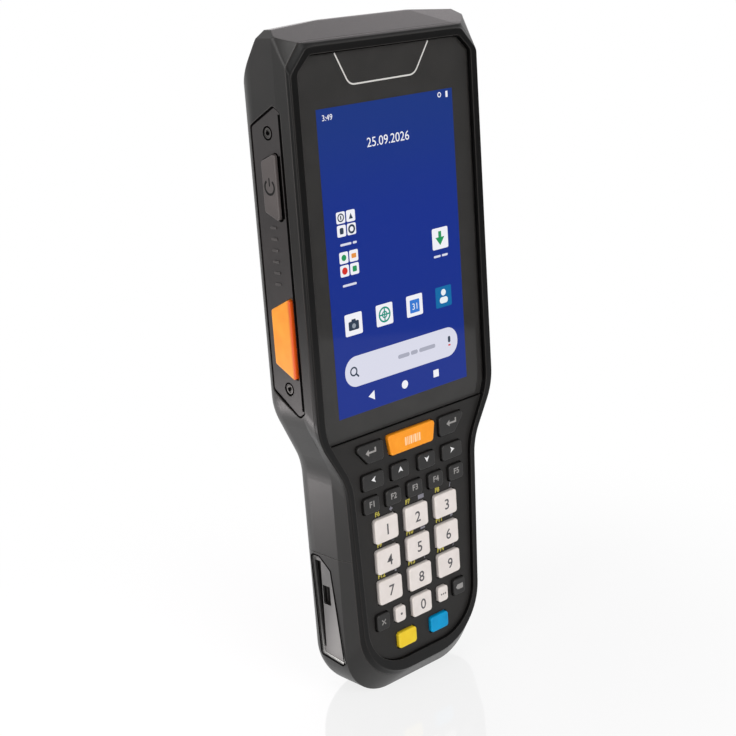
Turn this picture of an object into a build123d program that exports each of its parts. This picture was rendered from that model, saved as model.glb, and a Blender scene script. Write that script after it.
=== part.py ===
from build123d import *
import os

os.makedirs("parts", exist_ok=True)

# Hand-held data terminal with a keypad, standing upright on its foot. Millimetres.
# X runs to the right across the display, Y from the front to the back, Z from the foot to the crown.
# The origin lies in the middle of the foot, under the middle of the case's depth.

# ---- Driving dimensions: the case ----------------------------------------------------------------
depth = 26.2              # front rim to back
wall = 2.0                # thickness of the moulded shells
back_round = 9.0          # rounding of the long back edges
foot_corner = 17.0        # rounding of the two lower corners, seen from the front
waist_round = 20.0        # rounding of the bends at the waist
grip_taper = 0.6          # the grip narrows by this at the foot, each side
head_start = 9.5          # the head is full width this far above the foot of the glass
grip_end = 10.0           # and the grip this far below it
head_top = 24.7           # from the screen to the crown

# The case is a block with rounded shoulders, taller than the crown that is then cut from it.
block_spare = 8.7         # the block ends this far above the crown
shoulder_height = 12.2    # its shoulders start this far below its top
shoulder_drop = 3.0       # and end this far below it
shoulder_in = 2.7         # how far they lean in over that height
shoulder_in_top = 10.1    # the level part of its top ends this far inside the head's sides
shoulder_round = 10.0     # rounding of the shoulder bends
crown_in = 21.0           # the crown is level up to this far inside the head's sides
crown_fall = 1.3          # it falls this much from there
bevel_size = (2.2, 2.3)   # width and height of the bevel at each end of the crown

# The front face is smaller than the case behind it; between them lie long tapered flanks.
flank_depth = 6.5         # the flanks' depth
front_inset = 0.5         # the front face is this much narrower at the head, each side
grip_inset = 1.1          # and this much at the top of the grip
foot_inset = 3.0          # and this much at the foot, where the corners are rounder
front_foot_rise = 6.5     # its lower edge lies this far above the foot
waist_shift = 4.0         # its grip starts this much lower
head_shift = 6.7          # and the narrowing of its head this much lower
front_corner = 20.0       # rounding of its lower corners
brow_drop = 6.3           # its upper edge lies this far below the crown
brow_in = 6.9             # that edge ends this far inside the head's sides, at the cut corners
brow_corner = 7.2         # height of the cut corners
brow_bow = 0.3            # how much higher the middle of the edge is
brow_round = 3.0          # rounding of the cut corners' bends
small_round = 0.8         # rounding of other small corners
rim_bevel = 0.4           # bevel round the front face

# The top: a brow that slopes up from the front, a level crown, and a slope down to the back for the window.
crown_front = 9.0         # the crown starts this far behind the front rim
crown_depth = 1.8         # and is this deep
back_shoulder = 21.7      # the back is full depth up to this far below the crown
crown_round = 1.8

# ---- Driving dimensions: front face --------------------------------------------------------------
screen_size = (56.1, 93.6)
screen_foot = 7.1         # from the foot of the glass to the screen
glass_border = 7.35       # the glass is this much wider than the screen, each side
front_part_depth = 1.6    # the front housing shows this much of its side
rim_side = 2.2            # width of the rim beside the keypad
rim_head = 2.9            # and beside the glass
rim_top = 2.4
rim_bottom = 4.4
glass_sunk = 1.0          # the glass lies this far below the rim
glass_thick = 1.1
glass_bevel = 0.15
glass_cut_wide = 5.0      # the cut upper corners of the glass
glass_cut_high = 4.8
glass_round = 2.5         # rounding of their bends
plate_sunk = 1.2          # the keypad plate lies this far below the rim
plate_thick = 1.2
ledge = 1.8               # width of the ledge under the keypad plate, beside the grip
bend_shift = 0.5          # the bends of the recess lie this much higher than those of the rim
fit_gap = 0.15            # clearance round parts that are laid in
skirt_depth = 3.4         # the front housing reaches this far into the rear one
bar_reach = 1.5           # the bar between display and keypad starts this far below the glass
keypad_opening_round = 13.5

# ---- Driving dimensions: keys --------------------------------------------------------------------
key_sunk = 0.1            # key tops lie this far below the rim
key_gap = 0.3             # clearance round a key in its hole
key_travel = 0.6
key_round = 1.1
key_edge = 0.35           # softened upper edge of a key
flange_wide = 0.5         # a key's flange is this much wider than its cap
flange_thick = 0.6
flange_play = 0.05        # between the flange and the plate in front of it
opening_play = 0.6        # between the outermost flanges and the keypad opening
stem_radius = 1.2
dome_radius = 2.0
dome_high = 0.35
dome_gap = 0.05           # left between a pressed key and its dome
dome_taper = 30           # slope of a dome's sides, degrees
mat_thick = 0.8
mat_hole_radius = 2.3
board_thick = 1.0
number_key = (10.0, 8.1)
zero_key = (8.6, 7.2)
small_key = (4.4, 5.3)
corner_key = (5.4, 5.6)
colour_key = (8.0, 5.4)
arrow_key_inner = (7.5, 5.2)
arrow_key_outer = (9.0, 5.2)
function_key = (6.5, 5.2)
scan_key_top = 21.0
scan_key_bottom = 18.6
scan_key_high = 6.8
enter_wide = 10.8
enter_low_wide = 6.7      # an enter key's lower edge is narrower
enter_side = 1.6          # height of the upright part of its outer edge
enter_high = 6.4

# Gaps between neighbouring rows, from the lowest row up, and between neighbouring keys.
gap_over_colour = 3.0
gap_over_zero = 2.15
gap_between_numbers = 2.35
gap_over_numbers = 3.05
gap_over_functions = 2.5
gap_over_arrows = 3.2
gap_over_scan = 2.5
number_gap = 3.4
colour_gap = 6.8
small_gap = 3.3
corner_gap = 2.8
arrow_inner_gap = 4.3
arrow_outer_gap = 3.45
function_gap = 3.0
enter_gap = 2.0

# ---- Driving dimensions: display, frame and boards -----------------------------------------------
module_side = 2.6         # border of the display module round its screen
module_top = 3.6
module_foot = 2.9
module_gap = 0.4
module_round = 1.0
board_inset = 2.9         # the inner frame and the keypad board keep this far inside the front outline
board_drop = 0.6          # the keypad board starts this far below its opening
boards_apart = 0.4        # between the keypad board and the inner frame
chassis_thick = 1.0
chassis_reach = 0.1       # the inner frame starts this far above the keypad opening
chassis_over = 2.1        # and ends this far above its upper screws
main_board_gap = 2.8      # between the chassis and the main board
main_board_thick = 1.2
main_board_side = 2.9     # from the main board to the rear housing's wall
main_board_foot = 5.0     # from the foot of the glass to the main board
main_board_top = 25.0     # from the main board to the crown
can_high = 1.8
cans = ((-9.0, 17.0, 26.0, 16.0), (11.0, 36.0, 22.0, 14.0), (-13.0, 71.0, 18.0, 24.0))
board_hole_gap = 0.3      # round the pillars that pass the main board
spacer_radius = 1.8
spacer_side = 3.2         # from the main board's edge to its spacers
spacer_row = 3.0          # from its lower edge to the lower pair
pillar_radius = 2.2
case_screw_side = 3.6     # from the rounded edge of the back to the case screws
case_screw_foot = 16.0    # from the foot of the glass to the lower ones
case_screw_top = 32.0     # from the upper ones to the crown
foot_pillar_radius = 1.8
foot_pillar_over = 0.1      # from the rounding of the foot up to its pillars
foot_screw_side = 0.4     # from the rounding of the foot's corners to the foot screws
inner_screw_x = 24.0
inner_screw_over = 2.2    # the upper screws of the inner frame lie this far above the display
inner_screw_long = 3.3
screw_tip_gap = 0.1
board_screw_side = 3.0    # from the keypad opening to the keypad board's screws
board_screw_drop = 3.7    # from the upper edge of the board to them
screw_radius = 0.9
screw_head_radius = 1.7
screw_head_thick = 1.2
screw_head_sunk = 0.2
screw_hole_gap = 0.05
socket_radius = 0.75
socket_share = 0.6        # depth of the socket, as a share of the head

# ---- Driving dimensions: sides -------------------------------------------------------------------
side_plate_front = 5.2        # behind the front rim
side_plate_over = 2.5         # its back edge reaches this far round the edge of the back
side_plate_foot = 0.2         # starts this far below the head's full width
side_plate_top = 22.1         # ends this far below the crown
side_plate_low_step = 7.6     # how much higher its back corner is, below
side_plate_high_step = 6.2    # and how much lower, above
side_plate_nose = 3.0         # width of the nose beside each slanted end
side_plate_cut = 1.9          # height of the cut beside the nose
side_plate_round = 1.6
side_plate_thick = 0.9
side_plate_sunk = 0.5
side_button_proud = 0.6       # triggers and power button stand out this far
side_button_gap = 0.3
power_front = 8.6             # behind the front rim
power_back = 15.0
power_top = 35.7              # its upper end lies this far below the crown
power_long = 20.1
power_slant = 2.6
power_travel = 0.5
trigger_front = 7.2           # behind the front rim
trigger_back = 16.2
trigger_foot = 12.1           # its lower end lies this far above the plate's
trigger_long = 25.5
trigger_slant = 4.4
trigger_travel = 0.8
side_button_round = 0.9
side_button_edge = 0.3
side_flange_thick = 0.6
side_flange_wide = 0.8
switch_size = (2.6, 3.6, 5.0)
switch_overhang = 0.4
plunger_gap = 0.15
plunger_long = 0.6
plunger_radius = 0.8
side_screw_y = 12.0           # behind the front rim
side_screw_foot = 8.3         # from the lower end of the plate
side_screw_top = 7.7          # from its upper end
side_screw_long = 3.4
side_screw_head_thick = 0.5
side_boss_radius = 2.3
side_boss_long = 2.4

# The two bays in the sides of the foot, for the rails of a dock.
bay_low = 13.4
bay_long = 35.9
bay_back_low = 18.2           # its back edge, behind the front rim, at its lower end
bay_back_high = 19.5          # and at its upper end
bay_front_low = 7.4           # its front edge, at its lower end
bay_front_high = 10.9         # and at its upper end
bay_rise = 1.3                # its lower back corner lies this much higher
bay_cut_wide = 4.8            # its cut upper front corner
bay_cut_high = 3.7
bay_round = 1.0
bay_deep = 1.6                # from the widest part of the grip
insert_thick = 0.85
insert_frame = 0.75           # width of the bright frame of the insert
insert_panel_sunk = 0.35
slot_edge = 0.7               # from the back edge of the bay to the slot
slot_wide = 2.6
slot_wide_low = 0.8
slot_foot = 3.8               # from the lower end of the bay
slot_top = 2.0                # from its upper end
slot_deep = 1.3
notch_foot = 15.4             # from the lower end of the slot
notch_long = 6.6
notch_wide = 3.5
bay_backing = 1.8
bay_backing_edge = 1.2

# ---- Driving dimensions: foot cap, battery, dock connector ---------------------------------------
seam_over = 1.3               # the foot cap ends this far above the bays
seam_gap = 0.12
battery_side = 8.5            # from the side of the grip to the opening for the battery cover
battery_foot = 5.6            # from the foot screws to the opening
battery_top = 2.7             # from the opening to the height of the glass's foot
battery_round = 3.5
battery_gap = 0.25
battery_play = 0.1            # between the cover and the tray under it
battery_grip_foot = 7.5       # from the lower edge of the opening to the first finger groove
battery_grip_count = 4
battery_grip_pitch = 3.0
battery_grip_long = 24.0
battery_grip_wide = 1.2
battery_grip_deep = 0.5
cell_side = 1.9               # from the edges of the opening to the cells
cell_foot = 2.5
cell_top = 6.8
cell_thick = 9.4
cell_round = 2.0
tray_wall = 1.2
tray_flange = 2.0
tray_flange_thick = 0.8
contact_count = 5
contact_pitch = 2.6
contact_size = (1.1, 3.0)
contact_drop = 5.5            # from the upper end of the cells
contact_gap = 0.15
lock_width = 16.0
lock_high = 8.6
lock_travel = 3.0
lock_thick = 1.0
lock_round = 1.2
lock_gap = 0.2
lock_neck = (6.0, 3.0)
lock_foot = (10.0, 6.0)
lock_foot_thick = 1.0
lock_ribs = 4
lock_rib_pitch = 1.5
lock_rib_deep = 0.4
connector_half = 12.0
connector_depth = 4.6
connector_high = 3.2
connector_edge = 1.0
connector_tongue = (20.0, 1.6, 1.5)
connector_pins = 8
pin_pitch = 2.2
pin_size = (1.1, 0.2, 1.2)

# ---- Driving dimensions: head pieces -------------------------------------------------------------
window_size = (34.0, 13.0)
window_sunk = 0.3
window_thick = 1.0
window_lip = 1.3
window_round = 2.0
engine_size = (24.0, 10.0, 7.5)    # width, height and depth, seen through the window
engine_gap = 0.6
engine_eyes = ((-6.5, 3.2), (5.0, 3.6))
eye_deep = 1.2
engine_rib_x = 8.5
engine_rib_thick = 2.4
rib_edge = 0.8
camera_top = 44.0             # from the camera to the crown
camera_size = (9.0, 4.0)
camera_ring_radius = 6.2
camera_ring_deep = 0.5
camera_radius = 4.2
camera_lens_radius = 2.3
speaker_top = 70.0            # from the speaker to the crown
speaker_size = (18.0, 3.2, 12.0)
grille_columns = 7
grille_rows = 3
grille_pitch = 2.2
grille_radius = 0.55
strap_x = 9.0
strap_foot = 18.5             # from where the head is full width to the inserts
brass_radius = 2.2
brass_bore = 1.25
brass_long = 4.5
brass_boss_radius = 3.6
brass_floor = 0.6
seal_edge = 0.6
seal_wide = 0.8
seal_thick = 0.5

# ---- Places that follow from them: the depth -----------------------------------------------------
front = -depth / 2
back = depth / 2
inner_back = back - wall
crown_start = front + crown_front
crown_end = crown_start + crown_depth
parting = front + front_part_depth
flank_end = front + flank_depth
skirt_end = parting + skirt_depth
glass_front = front + glass_sunk
glass_back = glass_front + glass_thick
plate_front = front + plate_sunk
plate_back = plate_front + plate_thick
key_front = front + key_sunk
flange_front = plate_back + flange_play
flange_back = flange_front + flange_thick
board_back = skirt_end + board_thick
mat_front = skirt_end - mat_thick
stem_end = skirt_end - dome_high - dome_gap - key_travel
chassis_back = skirt_end + chassis_thick
main_board_front = chassis_back + main_board_gap
main_board_back = main_board_front + main_board_thick

# ---- Places that follow from them: the height, from the foot screws up through the keypad to the crown
foot_screw_row = back_round + foot_pillar_over + foot_pillar_radius
keypad_opening_low = foot_screw_row + screw_head_radius + screw_head_thick - screw_head_sunk
colour_row = keypad_opening_low + opening_play + screw_tip_gap + flange_wide + colour_key[1] / 2
zero_row = colour_row + colour_key[1] / 2 + gap_over_colour + zero_key[1] / 2
row_pitch = number_key[1] + gap_between_numbers
first_row = zero_row + zero_key[1] / 2 + gap_over_zero + number_key[1] / 2 + 2 * row_pitch
function_row = first_row + number_key[1] / 2 + gap_over_numbers + function_key[1] / 2
arrow_row = function_row + function_key[1] / 2 + gap_over_functions + arrow_key_outer[1] / 2
scan_row = arrow_row + arrow_key_outer[1] / 2 + gap_over_arrows + scan_key_high / 2
glass_foot = scan_row + scan_key_high / 2 + gap_over_scan
screen_low = glass_foot + screen_foot
screen_high = screen_low + screen_size[1]
length = screen_high + head_top
block_high = length + block_spare
brow_z = length - brow_drop
head_low = glass_foot + head_start
grip_high = glass_foot - grip_end
bar_low = glass_foot - bar_reach
module_low = screen_low - module_foot
module_high = screen_high + module_top
inner_screw_rows = ((bar_low + module_low - module_gap) / 2, module_high + module_gap + inner_screw_over)
chassis_low = bar_low + chassis_reach
chassis_high = inner_screw_rows[1] + chassis_over
board_low = keypad_opening_low - board_drop
board_high = chassis_low - boards_apart
board_screw_row = board_high - board_screw_drop
main_board_low = glass_foot + main_board_foot
main_board_high = length - main_board_top
main_board_middle = (main_board_low + main_board_high) / 2
spacer_rows = (main_board_low + spacer_row, main_board_middle)
case_screw_rows = (glass_foot + case_screw_foot, length - case_screw_top)
side_plate_low = head_low - side_plate_foot
side_plate_high = length - side_plate_top
power_high = length - power_top
power_low = power_high - power_long
trigger_low = side_plate_low + trigger_foot
trigger_high = trigger_low + trigger_long
side_screw_rows = (side_plate_low + side_screw_foot, side_plate_high - side_screw_top)
bay_high = bay_low + bay_long
slot_low = bay_low + slot_foot
slot_high = bay_high - slot_top
notch_low = slot_low + notch_foot
notch_high = notch_low + notch_long
seam = bay_high + seam_over
battery_low = foot_screw_row + battery_foot
battery_high = glass_foot - battery_top
cell_low = battery_low + cell_foot
cell_high = battery_high - cell_top
contact_row = cell_high - contact_drop
camera_row = length - camera_top
speaker_row = length - speaker_top
strap_row = head_low + strap_foot

# ---- Places that follow from them: the width -----------------------------------------------------
column_pitch = number_key[0] + number_gap
function_pitch = function_key[0] + function_gap
colour_x = (colour_key[0] + colour_gap) / 2
small_x = (zero_key[0] + small_key[0]) / 2 + small_gap
corner_x = small_x + (small_key[0] + corner_key[0]) / 2 + corner_gap
arrow_inner_x = (arrow_key_inner[0] + arrow_inner_gap) / 2
arrow_outer_x = arrow_inner_x + (arrow_key_inner[0] + arrow_key_outer[0]) / 2 + arrow_outer_gap
enter_in = scan_key_top / 2 + enter_gap
enter_out = enter_in + enter_wide
enter_out_low = enter_in + enter_low_wide
keypad_opening_half = enter_out + flange_wide + opening_play
grip_half = keypad_opening_half + ledge + rim_side + grip_inset
foot_half = grip_half - grip_taper
keypad_opening_foot_half = foot_half - foot_inset - rim_side - ledge / 2
recess_half = screen_size[0] / 2 + glass_border
head_half = recess_half + rim_head + front_inset
shoulder_half = head_half - shoulder_in_top
crown_half = head_half - crown_in
brow_half = head_half - brow_in
module_half = screen_size[0] / 2 + module_side
main_board_half = head_half - wall - main_board_side
spacer_x = main_board_half - spacer_side
case_screw_x = head_half - back_round - case_screw_side
foot_screw_x = foot_half - foot_corner - foot_screw_side
board_screw_x = keypad_opening_half + board_screw_side
battery_half = grip_half - battery_side
cell_half = battery_half - cell_side
hole_radius = screw_radius + screw_hole_gap


def at_y(y):
    """The plane parallel to the front at depth y. Its sketches read (X, Z), its normal is -Y."""
    return Plane.XZ.offset(-y)


def at_x(x):
    """The plane across the device at x. Its sketches read (Y, Z), its normal is +X."""
    return Plane.YZ.offset(x)


def both_sides(half_points):
    """The points of a right half, from the top down, and their mirror images."""
    return list(half_points) + [(-x, z) for x, z in reversed(half_points)]


def outline(half_points, half_radii):
    """A face that is the same to the left and the right, with a radius at each corner."""
    with BuildSketch() as face:
        with BuildLine():
            FilletPolyline(
                *both_sides(half_points),
                radius=list(half_radii) + list(reversed(half_radii)),
                close=True,
            )
        make_face()
    return face.sketch


def band(low, high):
    """Keep only what the current sketch has between two heights. Used inside a sketch at a depth."""
    with Locations((0, (low + high) / 2)):
        Rectangle(2 * length, high - low, mode=Mode.INTERSECT)


# The block of the case, seen from the front: its full outline and the smaller one of its front face.
case_points = [
    (shoulder_half, block_high),
    (head_half - shoulder_in, block_high - shoulder_drop),
    (head_half, block_high - shoulder_height),
    (head_half, head_low),
    (grip_half, grip_high),
    (foot_half, 0),
]
case_radii = [shoulder_round, shoulder_round, shoulder_round, waist_round, waist_round, foot_corner]

face_points = [
    (shoulder_half, brow_z + brow_bow / 2),
    (brow_half, brow_z - brow_bow / 2),
    (head_half - front_inset, brow_z - brow_corner),
    (head_half - front_inset, head_low - head_shift),
    (grip_half - grip_inset, grip_high - waist_shift),
    (foot_half - foot_inset, front_foot_rise),
]
face_radii = [shoulder_round, brow_round, brow_round, waist_round, waist_round, front_corner]

# The recess in the front face that holds the glass and the keypad plate.
recess_points = [
    (recess_half - glass_cut_wide, brow_z - rim_top),
    (recess_half, brow_z - rim_top - glass_cut_high),
    (recess_half, head_low - head_shift + bend_shift),
    (grip_half - grip_inset - rim_side, grip_high - waist_shift + bend_shift),
    (foot_half - foot_inset - rim_side, front_foot_rise + rim_bottom),
]
recess_radii = [
    glass_round,
    glass_round,
    waist_round - rim_side,
    waist_round + rim_side,
    front_corner - rim_bottom,
]
keypad_opening_points = [
    (keypad_opening_half, bar_low),
    (keypad_opening_half, first_row),
    (keypad_opening_foot_half, keypad_opening_low),
]
keypad_opening_radii = (key_round, 0, keypad_opening_round)


# The crown, seen from the front, with the bevels at its ends carried on past the head's sides.
bevel_wide, bevel_high = bevel_size
crown_end_low = length - crown_fall
crown_points = [
    (crown_half, length),
    (head_half - bevel_wide, crown_end_low),
    (head_half + 2 * bevel_wide, crown_end_low - 3 * bevel_high),
    (head_half + 2 * bevel_wide, -wall),
]


def brow_end(side, inset):
    """The plane of the brow's end: it falls from the crown's level part to its end and to the rim's bend."""
    low = Vector(side * brow_half, front, brow_z + brow_bow)
    level = Vector(side * crown_half, crown_start, length)
    end = Vector(side * head_half, crown_start, crown_end_low)
    return Plane(origin=low, z_dir=(end - low).cross(level - low) * side).offset(-inset)


def top_slopes(inset):
    """The brow, the crown and the slope of the window, as a block from side to side."""
    with BuildPart() as slopes:
        with BuildSketch(Plane.YZ) as side:
            with BuildLine():
                Polyline(
                    (front, 0),
                    (back, 0),
                    (back, length - back_shoulder),
                    (crown_end, length),
                    (crown_start, length),
                    (front, brow_z + brow_bow),
                    close=True,
                )
            make_face()
            fillet(side.vertices().group_by(Axis.Y)[-1], crown_round)
            if inset:
                offset(amount=-inset, kind=Kind.INTERSECTION, mode=Mode.REPLACE)
        extrude(amount=head_half, both=True)
        with BuildSketch(at_y(front)):
            Polygon(*both_sides(crown_points), align=None)
            if inset:
                offset(amount=-inset, kind=Kind.INTERSECTION, mode=Mode.REPLACE)
        extrude(amount=-depth, mode=Mode.INTERSECT)
        for side in (-1, 1):
            split(bisect_by=brow_end(side, inset), keep=Keep.BOTTOM)
    return slopes.part


def case_block(inset):
    """The outer form of the case with its sides and back moved in by inset. Inset blocks have no front."""
    with BuildPart() as block:
        with BuildSketch(at_y(flank_end)):
            add(outline(case_points, case_radii))
            if inset:
                offset(amount=-inset, mode=Mode.REPLACE)
        extrude(amount=-(back - inset - flank_end))
        fillet(block.faces().sort_by(Axis.Y)[-1].edges(), back_round - inset)
        if not inset:
            with BuildSketch(at_y(front)):
                add(outline(face_points, face_radii))
                offset(amount=-rim_bevel, mode=Mode.REPLACE)
            with BuildSketch(at_y(front + rim_bevel)):
                add(outline(face_points, face_radii))
            with BuildSketch(at_y(flank_end)):
                add(outline(case_points, case_radii))
            loft(ruled=True)
        add(top_slopes(inset), mode=Mode.INTERSECT)
    return block.part


case = case_block(0)


def save(piece, name):
    """Label a finished piece and write its STEP file."""
    piece.part.label = name
    export_step(piece.part, "parts/" + name + ".step")


def ring_outline(outer_inset, inner_inset):
    """A flat ring that follows the front outline."""
    with BuildSketch() as ring:
        offset(outline(face_points, face_radii), amount=-outer_inset)
        offset(outline(face_points, face_radii), amount=-inner_inset, mode=Mode.SUBTRACT)
    return ring.sketch


def front_outline(inset, low, high):
    """The front outline moved in by inset, between two heights."""
    with BuildSketch() as face:
        offset(outline(face_points, face_radii), amount=-inset)
        band(low, high)
    return face.sketch


def recess_outline(gap, low, high):
    """The recess for glass and keypad plate, moved in by gap, between two heights."""
    with BuildSketch() as face:
        add(outline(recess_points, recess_radii))
        band(low, high)
        if gap:
            offset(amount=-gap, kind=Kind.INTERSECTION, mode=Mode.REPLACE)
    return face.sketch


# Screw places, as (X, Z).
case_holes = [(x, z) for x in (-case_screw_x, case_screw_x) for z in case_screw_rows]
foot_holes = [(x, foot_screw_row) for x in (-foot_screw_x, foot_screw_x)]
inner_holes = [(x, z) for x in (-inner_screw_x, inner_screw_x) for z in inner_screw_rows]
board_holes = [(x, board_screw_row) for x in (-board_screw_x, board_screw_x)]
side_holes = [(front + side_screw_y, z) for z in side_screw_rows]
inner_hole_deep = inner_screw_long - chassis_thick + screw_tip_gap

# ---- Front housing: rim, ledges for glass and keypad plate, and a skirt inside the rear housing ----
with BuildPart() as front_housing:
    add(case)
    with BuildSketch(at_y(parting)):
        Rectangle(4 * head_half, 3 * length)
    extrude(amount=-2 * depth, mode=Mode.SUBTRACT)
    with BuildSketch(at_y(parting)):
        add(front_outline(wall + fit_gap, 0, length))
    extrude(amount=-skirt_depth)
    with BuildSketch(at_y(front)):
        add(recess_outline(0, glass_foot, length))
    extrude(amount=-(glass_back - front), mode=Mode.SUBTRACT)
    with BuildSketch(at_y(front)):
        add(recess_outline(0, 0, glass_foot))
    extrude(amount=-(plate_back - front), mode=Mode.SUBTRACT)
    with BuildSketch(at_y(front)):
        with Locations((0, (module_low + module_high) / 2)):
            Rectangle(2 * (module_half + module_gap), module_high - module_low + 2 * module_gap)
        add(outline(keypad_opening_points, keypad_opening_radii))
    extrude(amount=-depth, mode=Mode.SUBTRACT)
    with BuildSketch(at_y(parting)):
        add(ring_outline(seal_edge, seal_edge + seal_wide))
    extrude(amount=seal_thick, mode=Mode.SUBTRACT)
    with BuildSketch(at_y(skirt_end)):
        with Locations(*inner_holes, *board_holes, *foot_holes):
            Circle(hole_radius)
    extrude(amount=inner_hole_deep, mode=Mode.SUBTRACT)
save(front_housing, "front_housing")

# ---- Seal between the two housings ---------------------------------------------------------------
with BuildPart() as housing_seal:
    with BuildSketch(at_y(parting)):
        add(ring_outline(seal_edge, seal_edge + seal_wide))
    extrude(amount=seal_thick)
save(housing_seal, "housing_seal")

# ---- Cover glass and display module --------------------------------------------------------------
with BuildPart() as cover_glass:
    with BuildSketch(at_y(glass_front)):
        add(recess_outline(fit_gap, glass_foot, length))
    extrude(amount=-glass_thick)
    chamfer(cover_glass.faces().sort_by(Axis.Y)[0].edges(), glass_bevel)
save(cover_glass, "cover_glass")

with BuildPart() as display_module:
    with BuildSketch(at_y(glass_back)):
        with Locations((0, (module_low + module_high) / 2)):
            Rectangle(2 * module_half, module_high - module_low)
    extrude(amount=-(skirt_end - glass_back))
    fillet(display_module.edges().filter_by(Axis.Y), module_round)
save(display_module, "display_module")


# ---- Keys: each has a cap, a flange behind the keypad plate and a stem towards its dome ------------
def block_points(size):
    """The corners of a rectangle about its middle."""
    wide, high = size
    return [(-wide / 2, -high / 2), (wide / 2, -high / 2), (wide / 2, high / 2), (-wide / 2, high / 2)]


enter_x = (enter_in + enter_out) / 2
enter_points = [
    (enter_in - enter_x, -enter_high / 2),
    (enter_out_low - enter_x, -enter_high / 2),
    (enter_out - enter_x, enter_high / 2 - enter_side),
    (enter_out - enter_x, enter_high / 2),
    (enter_in - enter_x, enter_high / 2),
]
scan_points = [
    (-scan_key_bottom / 2, -scan_key_high / 2),
    (scan_key_bottom / 2, -scan_key_high / 2),
    (scan_key_top / 2, scan_key_high / 2),
    (-scan_key_top / 2, scan_key_high / 2),
]
keys = {
    "key_scan": (0, scan_row, scan_points),
    "key_enter_left": (-enter_x, scan_row, [(-x, z) for x, z in enter_points]),
    "key_enter_right": (enter_x, scan_row, enter_points),
    "key_left": (-arrow_outer_x, arrow_row, block_points(arrow_key_outer)),
    "key_up": (-arrow_inner_x, arrow_row, block_points(arrow_key_inner)),
    "key_down": (arrow_inner_x, arrow_row, block_points(arrow_key_inner)),
    "key_right": (arrow_outer_x, arrow_row, block_points(arrow_key_outer)),
    "key_0": (0, zero_row, block_points(zero_key)),
    "key_small_left": (-small_x, zero_row, block_points(small_key)),
    "key_small_right": (small_x, zero_row, block_points(small_key)),
    "key_escape": (-corner_x, zero_row, block_points(corner_key)),
    "key_backspace": (corner_x, zero_row, block_points(corner_key)),
    "key_yellow": (-colour_x, colour_row, block_points(colour_key)),
    "key_blue": (colour_x, colour_row, block_points(colour_key)),
}
for number in range(1, 6):
    keys[f"key_f{number}"] = ((number - 3) * function_pitch, function_row, block_points(function_key))
for number in range(1, 10):
    column, row = (number - 1) % 3, (number - 1) // 3
    keys[f"key_{number}"] = (
        (column - 1) * column_pitch,
        first_row - row * row_pitch,
        block_points(number_key),
    )
key_places = [(x, z) for x, z, points in keys.values()]


def key_outline(key, grow):
    """The outline of a key, made larger all round by grow."""
    x, z, points = key
    with BuildSketch() as face:
        with Locations((x, z)):
            Polygon(*points, align=None)
        if grow:
            offset(amount=grow, kind=Kind.INTERSECTION, mode=Mode.REPLACE)
        fillet(face.vertices(), key_round)
    return face.sketch


for name, key in keys.items():
    with BuildPart() as key_piece:
        with BuildSketch(at_y(key_front)):
            add(key_outline(key, 0))
        extrude(amount=-(flange_front - key_front))
        fillet(key_piece.faces().sort_by(Axis.Y)[0].edges(), key_edge)
        with BuildSketch(at_y(flange_front)):
            add(key_outline(key, flange_wide))
        extrude(amount=-flange_thick)
        with BuildSketch(at_y(flange_back)):
            with Locations(key[:2]):
                Circle(stem_radius)
        extrude(amount=-(stem_end - flange_back))
    save(key_piece, name)

# ---- Keypad plate, rubber mat, board and domes ---------------------------------------------------
with BuildPart() as keypad_plate:
    with BuildSketch(at_y(plate_front)):
        add(recess_outline(fit_gap, 0, glass_foot))
    extrude(amount=-plate_thick)
    with BuildSketch(at_y(plate_front)):
        for key in keys.values():
            add(key_outline(key, key_gap))
    extrude(amount=-plate_thick, mode=Mode.SUBTRACT)
save(keypad_plate, "keypad_plate")

with BuildPart() as keypad_mat:
    with BuildSketch(at_y(mat_front)):
        offset(outline(keypad_opening_points, keypad_opening_radii), amount=-fit_gap)
        with Locations(*key_places):
            Circle(mat_hole_radius, mode=Mode.SUBTRACT)
    extrude(amount=-mat_thick)
save(keypad_mat, "keypad_mat")

with BuildPart() as keypad_board:
    with BuildSketch(at_y(skirt_end)):
        add(front_outline(board_inset, board_low, board_high))
        with Locations(*board_holes):
            Circle(hole_radius, mode=Mode.SUBTRACT)
    extrude(amount=-board_thick)
save(keypad_board, "keypad_board")

with BuildPart() as dome_switches:
    with BuildSketch(at_y(skirt_end)):
        with Locations(*key_places):
            Circle(dome_radius)
    extrude(amount=dome_high, taper=dome_taper)
save(dome_switches, "dome_switches")

# ---- Inner frame behind the display, with the ribs that carry the scan engine --------------------
window_plane = Plane(
    origin=(0, (back + crown_end) / 2, length - back_shoulder / 2),
    x_dir=(1, 0, 0),
    z_dir=(0, back_shoulder, back - crown_end),
)
engine_near = wall + engine_gap
engine_far = engine_near + engine_size[2]
rib_low = window_plane.from_local_coords((0, engine_size[1] / 2 - rib_edge, -engine_far))
rib_high = window_plane.from_local_coords((0, -engine_size[1] / 2 + rib_edge, -engine_far))

with BuildPart() as inner_frame:
    with BuildSketch(at_y(skirt_end)):
        add(front_outline(board_inset, chassis_low, chassis_high))
        with Locations(*inner_holes, *case_holes):
            Circle(hole_radius, mode=Mode.SUBTRACT)
    extrude(amount=-chassis_thick)
    with BuildSketch(at_y(chassis_back)):
        with Locations(*[(x, z) for x in (-spacer_x, spacer_x) for z in spacer_rows]):
            Circle(spacer_radius)
    extrude(amount=-main_board_gap)
    for side in (-1, 1):
        with BuildSketch(at_x(side * engine_rib_x)):
            Polygon(
                (chassis_back, rib_low.Z - rib_edge),
                (rib_low.Y, rib_low.Z),
                (rib_high.Y, rib_high.Z),
                (chassis_back, chassis_high),
                align=None,
            )
        extrude(amount=engine_rib_thick / 2, both=True)
save(inner_frame, "inner_frame")

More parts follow.
